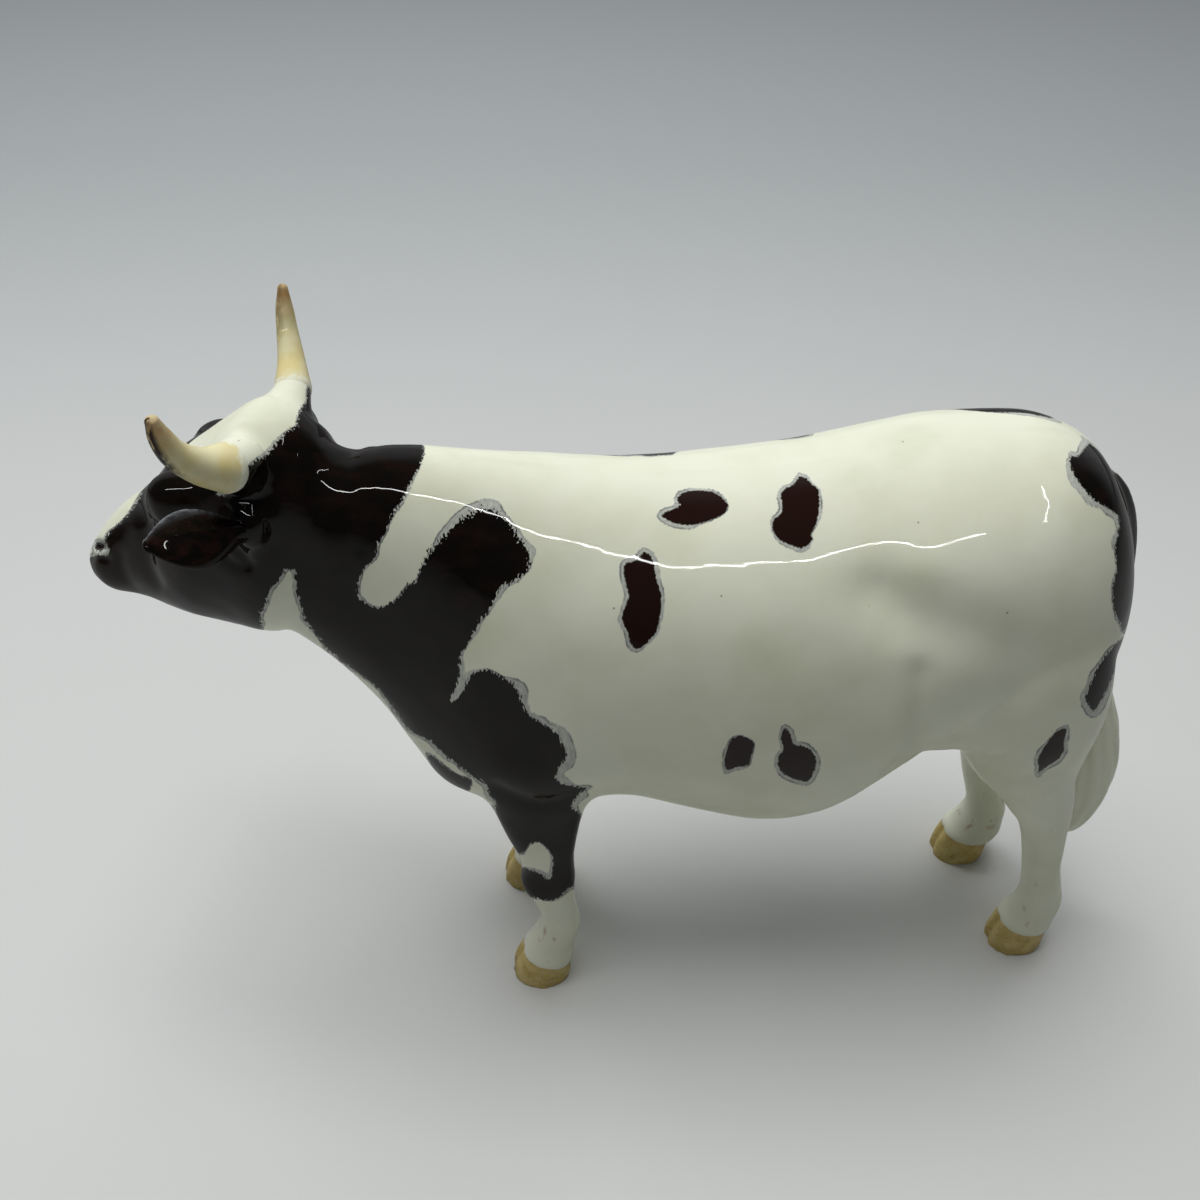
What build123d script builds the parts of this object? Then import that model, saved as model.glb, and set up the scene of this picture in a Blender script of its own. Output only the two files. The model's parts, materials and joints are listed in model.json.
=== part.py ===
from build123d import *
from math import copysign, cos, pi, radians, sin
import os

# A hollow slip cast cow, luted together from separately cast pieces.
# X runs from the muzzle to the tail, Y from the cow's left side to its right,
# Z is up from the shelf. All sizes are in millimetres.

# Trunk
hip_height = 126.5
trunk_length = 142.0
barrel_width = 54.0
wall = 3.6
vent_diameter = 4.0
vent_setback = 8.0

# Head, measured from the seam on the neck
head_length = 43.4
head_depth = 43.5
head_width = 25.6
head_turn = 17.5
brow_length = 11.0
brow_width = 7.0
brow_height = 10.5
nostril_radius = 1.2

# Horns, measured from the top of the poll
horn_seat_spread = 16.0
horn_tip_spread = 42.4
horn_drop = 4.2
horn_rise = 10.0
horn_sweep = 3.0
horn_radius = 3.4

# Ears
ear_length = 13.6
ear_width = 9.2
ear_thickness = 3.2
ear_root_spread = 25.0
ear_drop = 15.2

# Legs
wheelbase = 105.5
leg_inset = 14.4
front_stagger = 1.5
rear_stagger = 5.2
rear_shift = 1.4
elbow_height = 53.0
stifle_height = 59.0
shoulder_length = 27.0
shoulder_width = 17.0
thigh_length = 34.0
thigh_width = 22.0
front_cannon = 8.2
rear_cannon = 8.6
hoof_length = 12.9
hoof_width = 11.2
hoof_height = 9.6
cleft_width = 1.5
cleft_depth = 1.6

# Tail
tail_root_height = 118.0
tail_tip_height = 24.0
tail_thickness = 5.6
switch_width = 12.0
switch_depth = 11.8
switch_reach = 8.6
lock_count = 7
lock_relief = 0.45

# Udder
udder_length = 19.0
udder_width = 15.0
udder_drop = 5.4
teat_length = 2.2
teat_diameter = 2.4
teat_spacing = 6.6

# Facet counts round each piece
trunk_sides = 28
cavity_sides = 16
limb_sides = 16
small_sides = 12
teat_sides = 8
tail_sides = 20
squareness = 0.94

# Trunk sections from the neck seam to the rump: the top point and the bottom point
# in the middle plane, forward or back of mid wheelbase in shares of trunk_length and
# up in shares of hip_height, then the width in shares of barrel_width.
trunk_shares = (
    (-0.589, 0.980, -0.663, 0.700, 0.389),
    (-0.550, 0.976, -0.614, 0.625, 0.407),
    (-0.494, 0.974, -0.576, 0.553, 0.481),
    (-0.423, 0.970, -0.547, 0.486, 0.593),
    (-0.354, 0.966, -0.508, 0.423, 0.722),
    (-0.291, 0.962, -0.439, 0.387, 0.815),
    (-0.226, 0.960, -0.354, 0.397, 0.870),
    (-0.170, 0.961, -0.270, 0.406, 0.907),
    (-0.101, 0.968, -0.177, 0.374, 0.963),
    (-0.029, 0.979, -0.086, 0.348, 1.000),
    (0.041, 0.991, -0.001, 0.360, 1.000),
    (0.104, 0.999, 0.076, 0.419, 0.981),
    (0.167, 1.000, 0.147, 0.508, 0.926),
    (0.223, 0.993, 0.217, 0.512, 0.863),
    (0.276, 0.976, 0.273, 0.512, 0.778),
    (0.316, 0.944, 0.323, 0.526, 0.648),
    (0.346, 0.884, 0.357, 0.569, 0.463),
    (0.361, 0.814, 0.376, 0.640, 0.241),
)
# How far each of the first trunk sections has already turned with the head
neck_turn_shares = (0.6, 0.3, 0.1)
middle_share = 0.49

# Head sections from the neck seam to the muzzle: top and bottom points forward of the
# seam's middle in shares of head_length and above its lower edge in shares of
# head_depth, then the width in shares of head_width and the height of the widest place.
head_shares = (
    (-0.028, 0.920, 0.174, -0.011, 0.940, 0.50),
    (0.062, 0.984, 0.242, -0.016, 1.000, 0.50),
    (0.174, 1.000, 0.320, -0.016, 1.000, 0.55),
    (0.287, 0.926, 0.399, -0.011, 0.984, 0.58),
    (0.399, 0.834, 0.489, 0.011, 0.960, 0.58),
    (0.511, 0.738, 0.567, 0.034, 0.860, 0.55),
    (0.612, 0.623, 0.642, 0.048, 0.720, 0.52),
    (0.713, 0.517, 0.716, 0.053, 0.625, 0.50),
    (0.815, 0.425, 0.792, 0.044, 0.610, 0.50),
    (0.909, 0.333, 0.873, 0.039, 0.590, 0.50),
    (0.972, 0.230, 0.940, 0.062, 0.460, 0.50),
)

# Upper limb sections inside the trunk: up from the leg seam in shares of the height
# left to hip_height, aft of the hoof and inward in shares of the limb's own length
# and width, then the section's length and width in the same shares.
shoulder_shares = (
    (0.000, -0.007, 0.00, 0.637, 0.776),
    (0.140, -0.007, -0.03, 0.815, 0.882),
    (0.290, 0.030, -0.06, 1.000, 1.000),
    (0.450, 0.104, 0.00, 0.963, 0.941),
    (0.610, 0.178, 0.15, 0.667, 0.706),
)
thigh_shares = (
    (0.000, -0.382, 0.00, 0.600, 0.727),
    (0.120, -0.462, -0.02, 0.753, 0.836),
    (0.250, -0.550, -0.03, 0.941, 0.955),
    (0.430, -0.638, -0.03, 1.000, 1.000),
    (0.610, -0.711, 0.03, 0.882, 0.909),
    (0.785, -0.829, 0.10, 0.529, 0.636),
)

# Leg sections from the coronet to the leg seam: height in shares of the way between
# them, aft of the hoof, length and width in shares of the cannon.
foreleg_shares = (
    (0.00, 0.07, 1.28, 1.18),
    (0.09, 0.17, 1.20, 1.10),
    (0.17, 0.27, 1.12, 1.04),
    (0.27, 0.30, 0.98, 0.93),
    (0.41, 0.26, 1.07, 1.02),
    (0.52, 0.18, 1.28, 1.20),
    (0.61, 0.17, 1.26, 1.16),
    (0.73, 0.11, 1.42, 1.27),
    (0.86, 0.04, 1.76, 1.46),
)
hindleg_shares = (
    (0.00, 0.14, 1.17, 1.16),
    (0.07, 0.23, 1.13, 1.10),
    (0.14, 0.24, 1.08, 1.02),
    (0.24, 0.11, 0.98, 0.94),
    (0.36, -0.08, 0.93, 0.88),
    (0.49, -0.24, 1.00, 0.93),
    (0.60, -0.42, 1.13, 1.05),
    (0.70, -0.61, 1.35, 1.19),
    (0.80, -0.86, 1.67, 1.37),
    (0.90, -1.16, 2.00, 1.58),
)
# Hoof wall sections from the sole to the coronet: height, aft lean, length and width
hoof_shares = ((0.0, 0.0, 1.0, 1.0), (0.5, 0.02, 0.94, 0.97), (0.94, 0.06, 0.83, 0.91))

# Horn: the four control points of its curve, as sweep, how far from seat to tip, and
# height in shares of horn_drop below the poll and of horn_rise above it
horn_path_shares = (
    (-0.60, 0.00, -1.00, 0.00),
    (-0.40, 0.60, -1.00, 0.00),
    (0.95, 0.84, 0.00, 0.20),
    (0.90, 1.00, 0.00, 1.00),
)
# Horn radius along its curve, root first
horn_radius_shares = (1.14, 1.04, 0.92, 0.79, 0.67, 0.56, 0.45, 0.32, 0.14)

# Ear: its axis and the way its back faces, as forward, outward and up, then its
# sections as place along the axis, width, thickness of the back and dish of the front.
ear_axis_shares = (0.57, 0.78, 0.27)
ear_back_shares = (-0.56, 0.31, 0.77)
ear_shares = (
    (-0.28, 0.34, 0.62, -0.62),
    (0.02, 0.40, 0.62, -0.50),
    (0.16, 0.62, 0.62, -0.12),
    (0.34, 0.92, 0.60, 0.16),
    (0.52, 1.00, 0.54, 0.20),
    (0.70, 0.86, 0.44, 0.14),
    (0.86, 0.54, 0.32, 0.04),
    (1.00, 0.12, 0.12, -0.10),
)

# Brow and nostril: forward of the poll in shares of head_length, outward in shares of
# head_width and down from the poll in shares of head_depth.
brow_shares = (0.262, 0.275, 0.325)
nostril_shares = (0.80, 0.215, 0.70)

# Tail sections from the root to the tip: height in shares of the way from the tip to
# the root, reach behind the rump in shares of switch_reach, thickness in shares of
# tail_thickness, and how much of the switch is added.
rump_share = 0.370
tail_shares = (
    (1.00, -1.10, 0.80, 0.00),
    (0.96, -0.75, 0.96, 0.00),
    (0.88, -0.34, 1.00, 0.00),
    (0.76, -0.04, 1.00, 0.00),
    (0.62, 0.16, 0.96, 0.00),
    (0.50, 0.38, 0.96, 0.12),
    (0.41, 0.62, 1.00, 0.42),
    (0.32, 0.87, 1.00, 0.78),
    (0.22, 1.00, 1.00, 1.00),
    (0.12, 1.00, 1.00, 0.90),
    (0.04, 0.92, 0.90, 0.45),
    (0.00, 0.88, 0.60, 0.05),
)

# Udder: its place along the trunk, the height of the belly there, and its level
# sections as height in shares of udder_drop, length and width.
udder_place_share = 0.246
udder_seat_share = 0.512
udder_shares = ((1.00, 0.80, 0.80), (0.55, 1.00, 1.00), (0.22, 0.86, 0.88), (0.0, 0.55, 0.60))
teat_shares = ((0.55, 1.25), (0.0, 1.0), (-0.85, 0.80), (-1.0, 0.40))


def oval(centre, side, up, down, sides, waves=0, relief=0):
    """A closed polygon round a centre, as far out as side, up and down reach."""
    points = []
    for step in range(sides):
        angle = 2 * pi * (step + 0.5) / sides
        across = copysign(abs(cos(angle)) ** squareness, cos(angle))
        upright = abs(sin(angle)) ** squareness
        arm = side * across + (up if sin(angle) > 0 else down) * upright
        swell = 1 + relief * cos(waves * angle) / arm.length
        points.append(centre + arm * swell)
    return points


def skin(ovals):
    """A solid whose skin runs straight from each oval to the next."""
    outlines = [Wire.make_polygon(points, close=True) for points in ovals]
    return Solid.make_loft(outlines, ruled=True)


def turned(vector, angle):
    """The vector turned about the vertical, so that a positive angle looks to the right."""
    return vector.rotate(Axis.Z, -angle)


def spine():
    """Every section of head, neck and trunk as centre, side, up and down."""
    rows = []
    for top_x, top_z, low_x, low_z, width in trunk_shares:
        top = Vector(top_x * trunk_length, 0, top_z * hip_height)
        low = Vector(low_x * trunk_length, 0, low_z * hip_height)
        rows.append((top, low, width * barrel_width / 2, middle_share))
    seam_x = (rows[0][0].X + rows[0][1].X) / 2
    seam_z = rows[0][1].Z
    turns = [head_turn * share for share in neck_turn_shares]
    turns += [0] * (len(rows) - len(turns))
    for top_x, top_z, low_x, low_z, width, middle in head_shares:
        top = Vector(seam_x - top_x * head_length, 0, seam_z + top_z * head_depth)
        low = Vector(seam_x - low_x * head_length, 0, seam_z + low_z * head_depth)
        rows.insert(0, (top, low, width * head_width / 2, middle))
        turns.insert(0, head_turn)
    return bent(rows, turns)


def bent(rows, turns):
    """Turns the rows one after another, from the first straight one to the muzzle."""
    middles = [(top + low) / 2 for top, low, width, share in rows]
    places = list(middles)
    for index in range(len(rows) - 2, -1, -1):
        step = middles[index] - middles[index + 1]
        mean_turn = (turns[index] + turns[index + 1]) / 2
        places[index] = places[index + 1] + turned(step, mean_turn)
    sections = []
    for (top, low, width, share), middle, place, turn in zip(rows, middles, places, turns):
        centre = low + (top - low) * share
        arms = [centre - middle, Vector(0, width, 0), top - centre, low - centre]
        offset, side, up, down = [turned(arm, turn) for arm in arms]
        sections.append((place + offset, side, up, down))
    return sections


def inset(section, depth):
    """The same section with every half axis shorter by depth."""
    centre, side, up, down = section
    return (centre, *[arm * (1 - depth / arm.length) for arm in (side, up, down)])


def ball(centre, radius_x, radius_y, radius_z, sides=small_sides):
    """A faceted egg, stacked from ovals."""
    slices = sides // 2
    ovals = []
    for step in range(1, slices):
        angle = pi * step / slices
        level = centre + Vector(0, 0, radius_z * cos(angle))
        along = Vector(radius_x * sin(angle), 0, 0)
        across = Vector(0, radius_y * sin(angle), 0)
        ovals.append(oval(level, along, across, -across, sides))
    return skin(ovals)


# The chain of sections, and where the neck seam cuts it
sections = spine()
seam_index = len(head_shares)
head_core = skin([oval(*section, trunk_sides) for section in sections[:seam_index + 1]])
trunk_core = skin([oval(*section, trunk_sides) for section in sections[seam_index:]])

# The hollow that the slip leaves, from the brow to the rump
brow_index = seam_index - 5
hollow = skin([oval(*inset(section, wall), cavity_sides) for section in sections[brow_index:-2]])

# The head's own directions, and the top of the poll
forward = turned(Vector(-1, 0, 0), head_turn)
rightward = turned(Vector(0, 1, 0), head_turn)
upward = Vector(0, 0, 1)
poll_section = sections[seam_index - 3]
poll = poll_section[0] + poll_section[2]


def on_head(ahead, outward, rise, side):
    """A place on the head, measured from the top of the poll, on the right for side 1."""
    return poll + forward * ahead + rightward * outward * side + upward * rise


def face_place(shares, side):
    """A place on the face from its shares of the head's length, width and depth."""
    ahead, outward, drop = shares
    return on_head(ahead * head_length, outward * head_width, -drop * head_depth, side)


def head_direction(shares, side):
    """A unit direction from its shares ahead, outward and up."""
    ahead, outward, rise = shares
    return (forward * ahead + rightward * outward * side + upward * rise).normalized()


def horn(side):
    """A tapering horn on a cubic curve: out of the poll, then forward and up."""
    reach = (horn_tip_spread - horn_seat_spread) / 2
    control = []
    for sweep, out, drop, rise in horn_path_shares:
        outward = horn_seat_spread / 2 + out * reach
        height = drop * horn_drop + rise * horn_rise
        control.append(on_head(sweep * horn_sweep, outward, height, side))
    curve = Bezier(*control)
    ovals = []
    for step, share in enumerate(horn_radius_shares):
        place = step / (len(horn_radius_shares) - 1)
        direction = curve % place
        across = direction.cross(forward).normalized() * share * horn_radius
        along = direction.cross(across).normalized() * share * horn_radius
        ovals.append(oval(curve @ place, across, along, -along, small_sides))
    return skin(ovals)


def ear(side):
    """A leaf with a rounded back and a dished front."""
    axis = head_direction(ear_axis_shares, side)
    back = head_direction(ear_back_shares, side)
    back = (back - axis * back.dot(axis)).normalized()
    blade = axis.cross(back)
    root = on_head(0, ear_root_spread / 2, -ear_drop, side)
    ovals = []
    for place, width, thick, dish in ear_shares:
        centre = root + axis * place * ear_length
        half_width = blade * width * ear_width / 2
        behind = back * thick * ear_thickness
        before = back * dish * ear_thickness
        ovals.append(oval(centre, half_width, behind, before, small_sides))
    return skin(ovals)


def limb_section(place, length, width, sides=limb_sides):
    """A level oval of a leg."""
    along = Vector(length / 2, 0, 0)
    across = Vector(0, width / 2, 0)
    return oval(place, along, across, -across, sides)


def upper_limb(seat, shares, seam_height, length, width, side):
    """The sections of a shoulder or thigh, from the leg seam up into the trunk."""
    ovals = []
    for up, aft, inward, long_share, wide_share in shares:
        height = seam_height + up * (hip_height - seam_height)
        place = seat + Vector(aft * length, -side * inward * width, height)
        ovals.append(limb_section(place, long_share * length, wide_share * width))
    return ovals


def leg(foot, seat, shares, top_oval, seam_height, cannon):
    """Hoof, pastern, cannon and knee or hock, leaning to the oval of the leg seam."""
    ovals = []
    for up, aft, long_share, wide_share in hoof_shares:
        place = foot + Vector(aft * hoof_length, 0, up * hoof_height)
        ovals.append(limb_section(place, long_share * hoof_length, wide_share * hoof_width))
    for up, aft, long_share, wide_share in shares:
        height = hoof_height + up * (seam_height - hoof_height)
        place = foot + (seat - foot) * up + Vector(aft * cannon, 0, height)
        ovals.append(limb_section(place, long_share * cannon, wide_share * cannon))
    return skin(ovals + [top_oval])


def cleft(foot):
    """The wedge that parts the two toes of a hoof at the front."""
    toe = foot.X - hoof_length / 2
    outline = Polyline(
        (toe - cleft_depth, foot.Y - cleft_width),
        (toe + cleft_depth, foot.Y),
        (toe - cleft_depth, foot.Y + cleft_width),
        close=True,
    )
    wedge = extrude(make_face(outline), hoof_height + cleft_depth, dir=(0, 0, 1))
    return Pos(0, 0, -cleft_depth) * wedge


def tail():
    """The tail on the rump, and its switch with locks of hair combed into it."""
    ovals = []
    for up, reach, thick, extra in tail_shares:
        height = tail_tip_height + up * (tail_root_height - tail_tip_height)
        place = Vector(rump_share * trunk_length + reach * switch_reach, 0, height)
        depth = thick * tail_thickness + extra * (switch_depth - tail_thickness)
        width = thick * tail_thickness + extra * (switch_width - tail_thickness)
        along = Vector(depth / 2, 0, 0)
        across = Vector(0, width / 2, 0)
        relief = extra * lock_relief
        ovals.append(oval(place, along, across, -across, tail_sides, lock_count, relief))
    return skin(ovals)


def udder():
    """The bag under the flank, with its four teats."""
    seat = Vector(udder_place_share * trunk_length, 0, udder_seat_share * hip_height)
    floor = seat - upward * udder_drop
    ovals = []
    for up, long_share, wide_share in udder_shares:
        place = floor + upward * up * (udder_drop + wall)
        ovals.append(limb_section(place, long_share * udder_length, wide_share * udder_width))
    bag = skin(ovals)
    for ahead in (-teat_spacing / 2, teat_spacing / 2):
        for aside in (-teat_spacing / 2, teat_spacing / 2):
            ovals = []
            for up, share in teat_shares:
                place = floor + Vector(ahead, aside, up * teat_length)
                width = share * teat_diameter
                ovals.append(limb_section(place, width, width, teat_sides))
            bag = bag + skin(ovals)
    return bag


# The legs' seats under the trunk, each as far in from the barrel's side, with the cow's
# left side at negative Y
leg_offset = barrel_width / 2 - leg_inset
seats = {
    "front_left": Vector(-wheelbase / 2, -leg_offset, 0),
    "front_right": Vector(-wheelbase / 2 - front_stagger, leg_offset, 0),
    "rear_left": Vector(wheelbase / 2, -leg_offset, 0),
    "rear_right": Vector(wheelbase / 2 - rear_stagger, leg_offset, 0),
}
pieces = {}
trunk = trunk_core
for name, seat in seats.items():
    side = copysign(1, seat.Y)
    if name.startswith("front"):
        plan = (shoulder_shares, elbow_height, shoulder_length, shoulder_width)
        lower_shares = foreleg_shares
        cannon = front_cannon
        foot = seat
    else:
        plan = (thigh_shares, stifle_height, thigh_length, thigh_width)
        lower_shares = hindleg_shares
        cannon = rear_cannon
        foot = seat + Vector(0, rear_shift, 0)
    upper = upper_limb(seat, *plan, side)
    trunk = trunk + skin(upper)
    lower = leg(foot, seat, lower_shares, upper[0], plan[1], cannon)
    pieces[name + "_leg"] = lower - cleft(foot)
for name in list(pieces):
    pieces[name] = pieces[name] - trunk_core

# Brows and nostrils of the head
head = head_core
for side in (-1, 1):
    brow = ball(face_place(brow_shares, side), brow_length / 2, brow_width / 2, brow_height / 2)
    nostril = ball(face_place(nostril_shares, side), *[nostril_radius] * 3)
    head = head + brow - nostril

# Small pieces are luted on, so each is trimmed to the surface that carries it
pieces["left_horn"] = horn(-1) - head
pieces["right_horn"] = horn(1) - head
pieces["left_ear"] = ear(-1) - head
pieces["right_ear"] = ear(1) - head
pieces["tail"] = tail() - trunk
pieces["udder"] = udder() - trunk - pieces["rear_left_leg"] - pieces["rear_right_leg"]

# The hollow opens to the outside only at the vent under the belly
vent_height = hip_height / 2
vent = Pos(-vent_setback, 0, vent_height / 2) * Cylinder(vent_diameter / 2, vent_height)
pieces["body_shell"] = trunk - hollow - vent
pieces["head"] = head - hollow

# The origin goes to the middle of the footprint
boxes = [piece.bounding_box() for piece in pieces.values()]
low_x = min(box.min.X for box in boxes)
high_x = max(box.max.X for box in boxes)
low_y = min(box.min.Y for box in boxes)
high_y = max(box.max.Y for box in boxes)
home = Pos(-(low_x + high_x) / 2, -(low_y + high_y) / 2, 0)
os.makedirs("parts", exist_ok=True)
for name, piece in pieces.items():
    solids = [home * solid for solid in piece.solids()]
    print(name, len(solids), [round(solid.volume) for solid in solids])
    placed = solids[0] if len(solids) == 1 else Compound(solids)
    export_step(placed, "parts/" + name + ".step")
print("length and width", round(high_x - low_x, 1), round(high_y - low_y, 1))
print("middle", round((low_x + high_x) / 2, 2), round((low_y + high_y) / 2, 2))
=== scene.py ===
"""A glazed earthenware cow: its moulded form, its brushed patches and its gloss glaze.

Lengths inside the shape functions are in millimetres in the shared frame: X from the muzzle
to the tail, Y from the cow's left side to its right, Z up from the shelf. They become metres
when a mesh is made.
"""
import json
import math

import bpy
import numpy as np
from mathutils import Euler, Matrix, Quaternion, Vector


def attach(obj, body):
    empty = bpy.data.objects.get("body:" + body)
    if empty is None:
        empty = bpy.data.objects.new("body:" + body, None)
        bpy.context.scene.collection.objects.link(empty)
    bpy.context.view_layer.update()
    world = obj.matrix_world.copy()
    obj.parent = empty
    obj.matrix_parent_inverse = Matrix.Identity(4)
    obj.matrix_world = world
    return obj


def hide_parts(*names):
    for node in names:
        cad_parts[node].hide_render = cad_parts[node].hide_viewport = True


bl_info = {
    "name": "Glazed Cow Figurine",
    "version": (1, 0, 0),
    "blender": (4, 5, 0),
    "location": "3D View > Sidebar > Cow",
    "description": "Models the castings, horns, ears and glaze of a ceramic cow",
    "category": "Add Mesh",
}

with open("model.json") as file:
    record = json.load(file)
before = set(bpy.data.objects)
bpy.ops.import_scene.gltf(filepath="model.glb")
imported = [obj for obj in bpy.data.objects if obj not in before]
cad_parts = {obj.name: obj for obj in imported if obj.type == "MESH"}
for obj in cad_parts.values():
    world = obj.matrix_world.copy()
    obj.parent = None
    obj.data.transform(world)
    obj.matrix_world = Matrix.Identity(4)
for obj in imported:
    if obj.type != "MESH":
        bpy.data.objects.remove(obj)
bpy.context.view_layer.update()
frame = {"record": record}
MM = 0.001
PHOTO_PIXELS = 1200
SENSOR_WIDTH = 36
FAR_OFF = 60.0
NO_HOOF = -50.0

# Where the soles stand, from the record's mounts
soles = {m["name"].replace("_sole", ""): np.array(m["pos_m"]) / MM for m in frame["record"]["mounts"]}
mid_x = (soles["front_left"][0] + soles["rear_left"][0]) / 2
plane_y = (soles["front_left"][1] + soles["front_right"][1]) / 2

# Where the muzzle, the face, the head and the neck end, and how long the neck turns
muzzle_x, face_x, head_x, neck_x = mid_x - 95, mid_x - 92, mid_x - 70, mid_x - 42
neck_run = 26


def length(name, default, description):
    """A length among a group's values."""
    return bpy.props.FloatProperty(name=name, description=description, default=default, unit="LENGTH")


def tone(name, default, description):
    """A colour among a group's values."""
    return bpy.props.FloatVectorProperty(
        name=name, description=description, default=default, subtype="COLOR", size=3)


class CowForm(bpy.types.PropertyGroup):
    """Driving sizes of the castings."""

    hip_height: length("Hip height", 0.1265, "Shelf to the highest point of the hips")
    trunk_length: length("Trunk length", 0.142, "Neck seam to rump")
    barrel_width: length("Barrel width", 0.054, "Width of the belly")
    head_length: length("Head length", 0.0434, "Neck seam to muzzle")
    head_depth: length("Head depth", 0.0435, "Throat to poll")
    head_width: length("Head width", 0.0256, "Width across the cheeks")
    head_turn: bpy.props.FloatProperty(
        name="Head turn", description="How far the head looks to its right", default=math.radians(17.5),
        subtype="ANGLE")
    horn_radius: length("Horn radius", 0.0039, "Radius of a horn where it leaves the poll")
    ear_length: length("Ear length", 0.0150, "Root to tip of an ear")
    ear_width: length("Ear width", 0.0096, "Widest part of an ear")
    ear_thickness: length("Ear thickness", 0.003, "Thickness that an ear's section shares are of")
    grain: length("Grain", 0.00063, "Edge of the small squares that the skin is made of")


class CowColours(bpy.types.PropertyGroup):
    """Colours of clay, paint and glaze."""

    cream: tone("Cream", (0.72, 0.735, 0.60), "Glazed body colour")
    dark: tone("Patch", (0.0045, 0.0035, 0.0027), "Thick patch paint")
    brown: tone("Thin patch", (0.017, 0.0068, 0.005), "Patch paint where it is thin")
    wash: tone("Wash", (0.25, 0.27, 0.29), "Grey wash round a patch")
    hoof: tone("Hoof", (0.50, 0.38, 0.125), "Tan of the hooves")
    horn: tone("Horn", (0.68, 0.63, 0.39), "Cream yellow of the horns")
    stain: tone("Stain", (0.16, 0.075, 0.03), "Brown in cracks and brush marks")
    run: tone("Run", (0.36, 0.19, 0.08), "Brown that has run in the glaze")
    blush: tone("Blush", (0.62, 0.50, 0.42), "Pink of the udder")


class CowStage(bpy.types.PropertyGroup):
    """Floor, lamps and camera."""

    camera_place: bpy.props.FloatVectorProperty(
        name="Camera place", description="Where the lens stands", subtype="TRANSLATION", size=3,
        default=(-0.02637, -0.16174, 0.2295))
    camera_turn: bpy.props.FloatVectorProperty(
        name="Camera turn", description="Which way the lens looks", subtype="EULER", size=3,
        default=(math.radians(49.904), math.radians(-1.513), math.radians(-4.521)))
    lens: bpy.props.FloatProperty(
        name="Lens", description="Focal length on a 36 mm sensor, in mm", default=36.06)
    floor_colour: tone("Floor", (0.62, 0.63, 0.615), "Pale floor")
    key_power: bpy.props.FloatProperty(
        name="Key power", description="Soft lamp overhead, in watts", default=9.2)
    strip_power: bpy.props.FloatProperty(
        name="Strip power", description="Thin lamp that draws the long highlight, in watts", default=3.2)
    sky_strength: bpy.props.FloatProperty(
        name="Sky strength", description="Soft light from beyond the cow", default=0.70)


# Trunk sections from the neck seam to the rump: the top and the bottom point in the middle
# plane, from mid wheelbase in shares of trunk_length and up in shares of hip_height, then
# the width in shares of barrel_width.
trunk_shares = (
    (-0.589, 0.982, -0.663, 0.7, 0.389), (-0.55, 0.988, -0.606, 0.636, 0.407),
    (-0.494, 0.986, -0.566, 0.566, 0.474), (-0.423, 0.973, -0.538, 0.498, 0.581),
    (-0.354, 0.961, -0.503, 0.428, 0.718), (-0.291, 0.951, -0.439, 0.398, 0.815),
    (-0.226, 0.947, -0.354, 0.403, 0.87), (-0.17, 0.948, -0.27, 0.414, 0.907),
    (-0.101, 0.957, -0.177, 0.382, 0.963), (-0.029, 0.97, -0.086, 0.352, 1),
    (0.041, 0.987, -0.001, 0.371, 1), (0.104, 0.999, 0.076, 0.461, 0.981),
    (0.167, 1.001, 0.147, 0.545, 0.926), (0.223, 1.001, 0.217, 0.534, 0.863),
    (0.276, 0.976, 0.273, 0.52, 0.778), (0.312, 0.93, 0.323, 0.526, 0.648),
    (0.34, 0.87, 0.357, 0.569, 0.463), (0.358, 0.802, 0.376, 0.64, 0.241),
)
neck_turn_shares = (0.6, 0.3, 0.1)
trunk_middle_share = 0.49

# Head sections from the neck seam to the muzzle: top and bottom points forward in shares
# of head_length and up in shares of head_depth, width, and height of the widest place.
head_shares = (
    (-0.028, 0.92, 0.174, -0.011, 0.94, 0.5), (0.062, 0.984, 0.242, -0.016, 1, 0.5),
    (0.174, 1, 0.32, -0.016, 1, 0.55), (0.287, 0.926, 0.399, -0.011, 0.984, 0.58),
    (0.399, 0.834, 0.489, -0.004, 0.96, 0.58), (0.511, 0.75, 0.567, 0.006, 0.86, 0.55),
    (0.612, 0.628, 0.642, 0.016, 0.73, 0.54), (0.713, 0.533, 0.714, 0.034, 0.65, 0.54),
    (0.815, 0.448, 0.79, 0.045, 0.625, 0.54), (0.896, 0.366, 0.86, 0.05, 0.6, 0.54),
    (0.957, 0.284, 0.914, 0.088, 0.48, 0.54),
)

# Limb sections from the sole up: height, aft of the sole's middle, inward, length, width (mm)
foreleg_rows = (
    (0, 0, 0, 13.3, 11.6), (4.8, 0.35, 0, 12.5, 11.2), (9, 1.4, 0, 10.4, 10.5), (9.6, 1.3, 0, 9.7, 9.7),
    (13.5, 2, 0, 8.8, 9), (17, 2.5, 0, 8.6, 8.5), (21.3, 2.5, 0, 8, 7.6), (27.4, 2.1, 0, 8.8, 8.4),
    (32.2, 1.5, 0, 10.5, 9.8), (36.1, 1.4, 0, 10.3, 9.5), (41.3, 0.9, 0, 11.6, 10.4),
    (46.9, 0.3, 0, 14.4, 12), (53, -0.2, 0, 17.2, 13.2), (63.3, -0.2, -0.5, 22, 15),
    (74.3, 0.8, -1, 27, 17), (86.1, 2.8, 0, 26, 16), (97.8, 4.8, 2.6, 18, 12),
)
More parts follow.
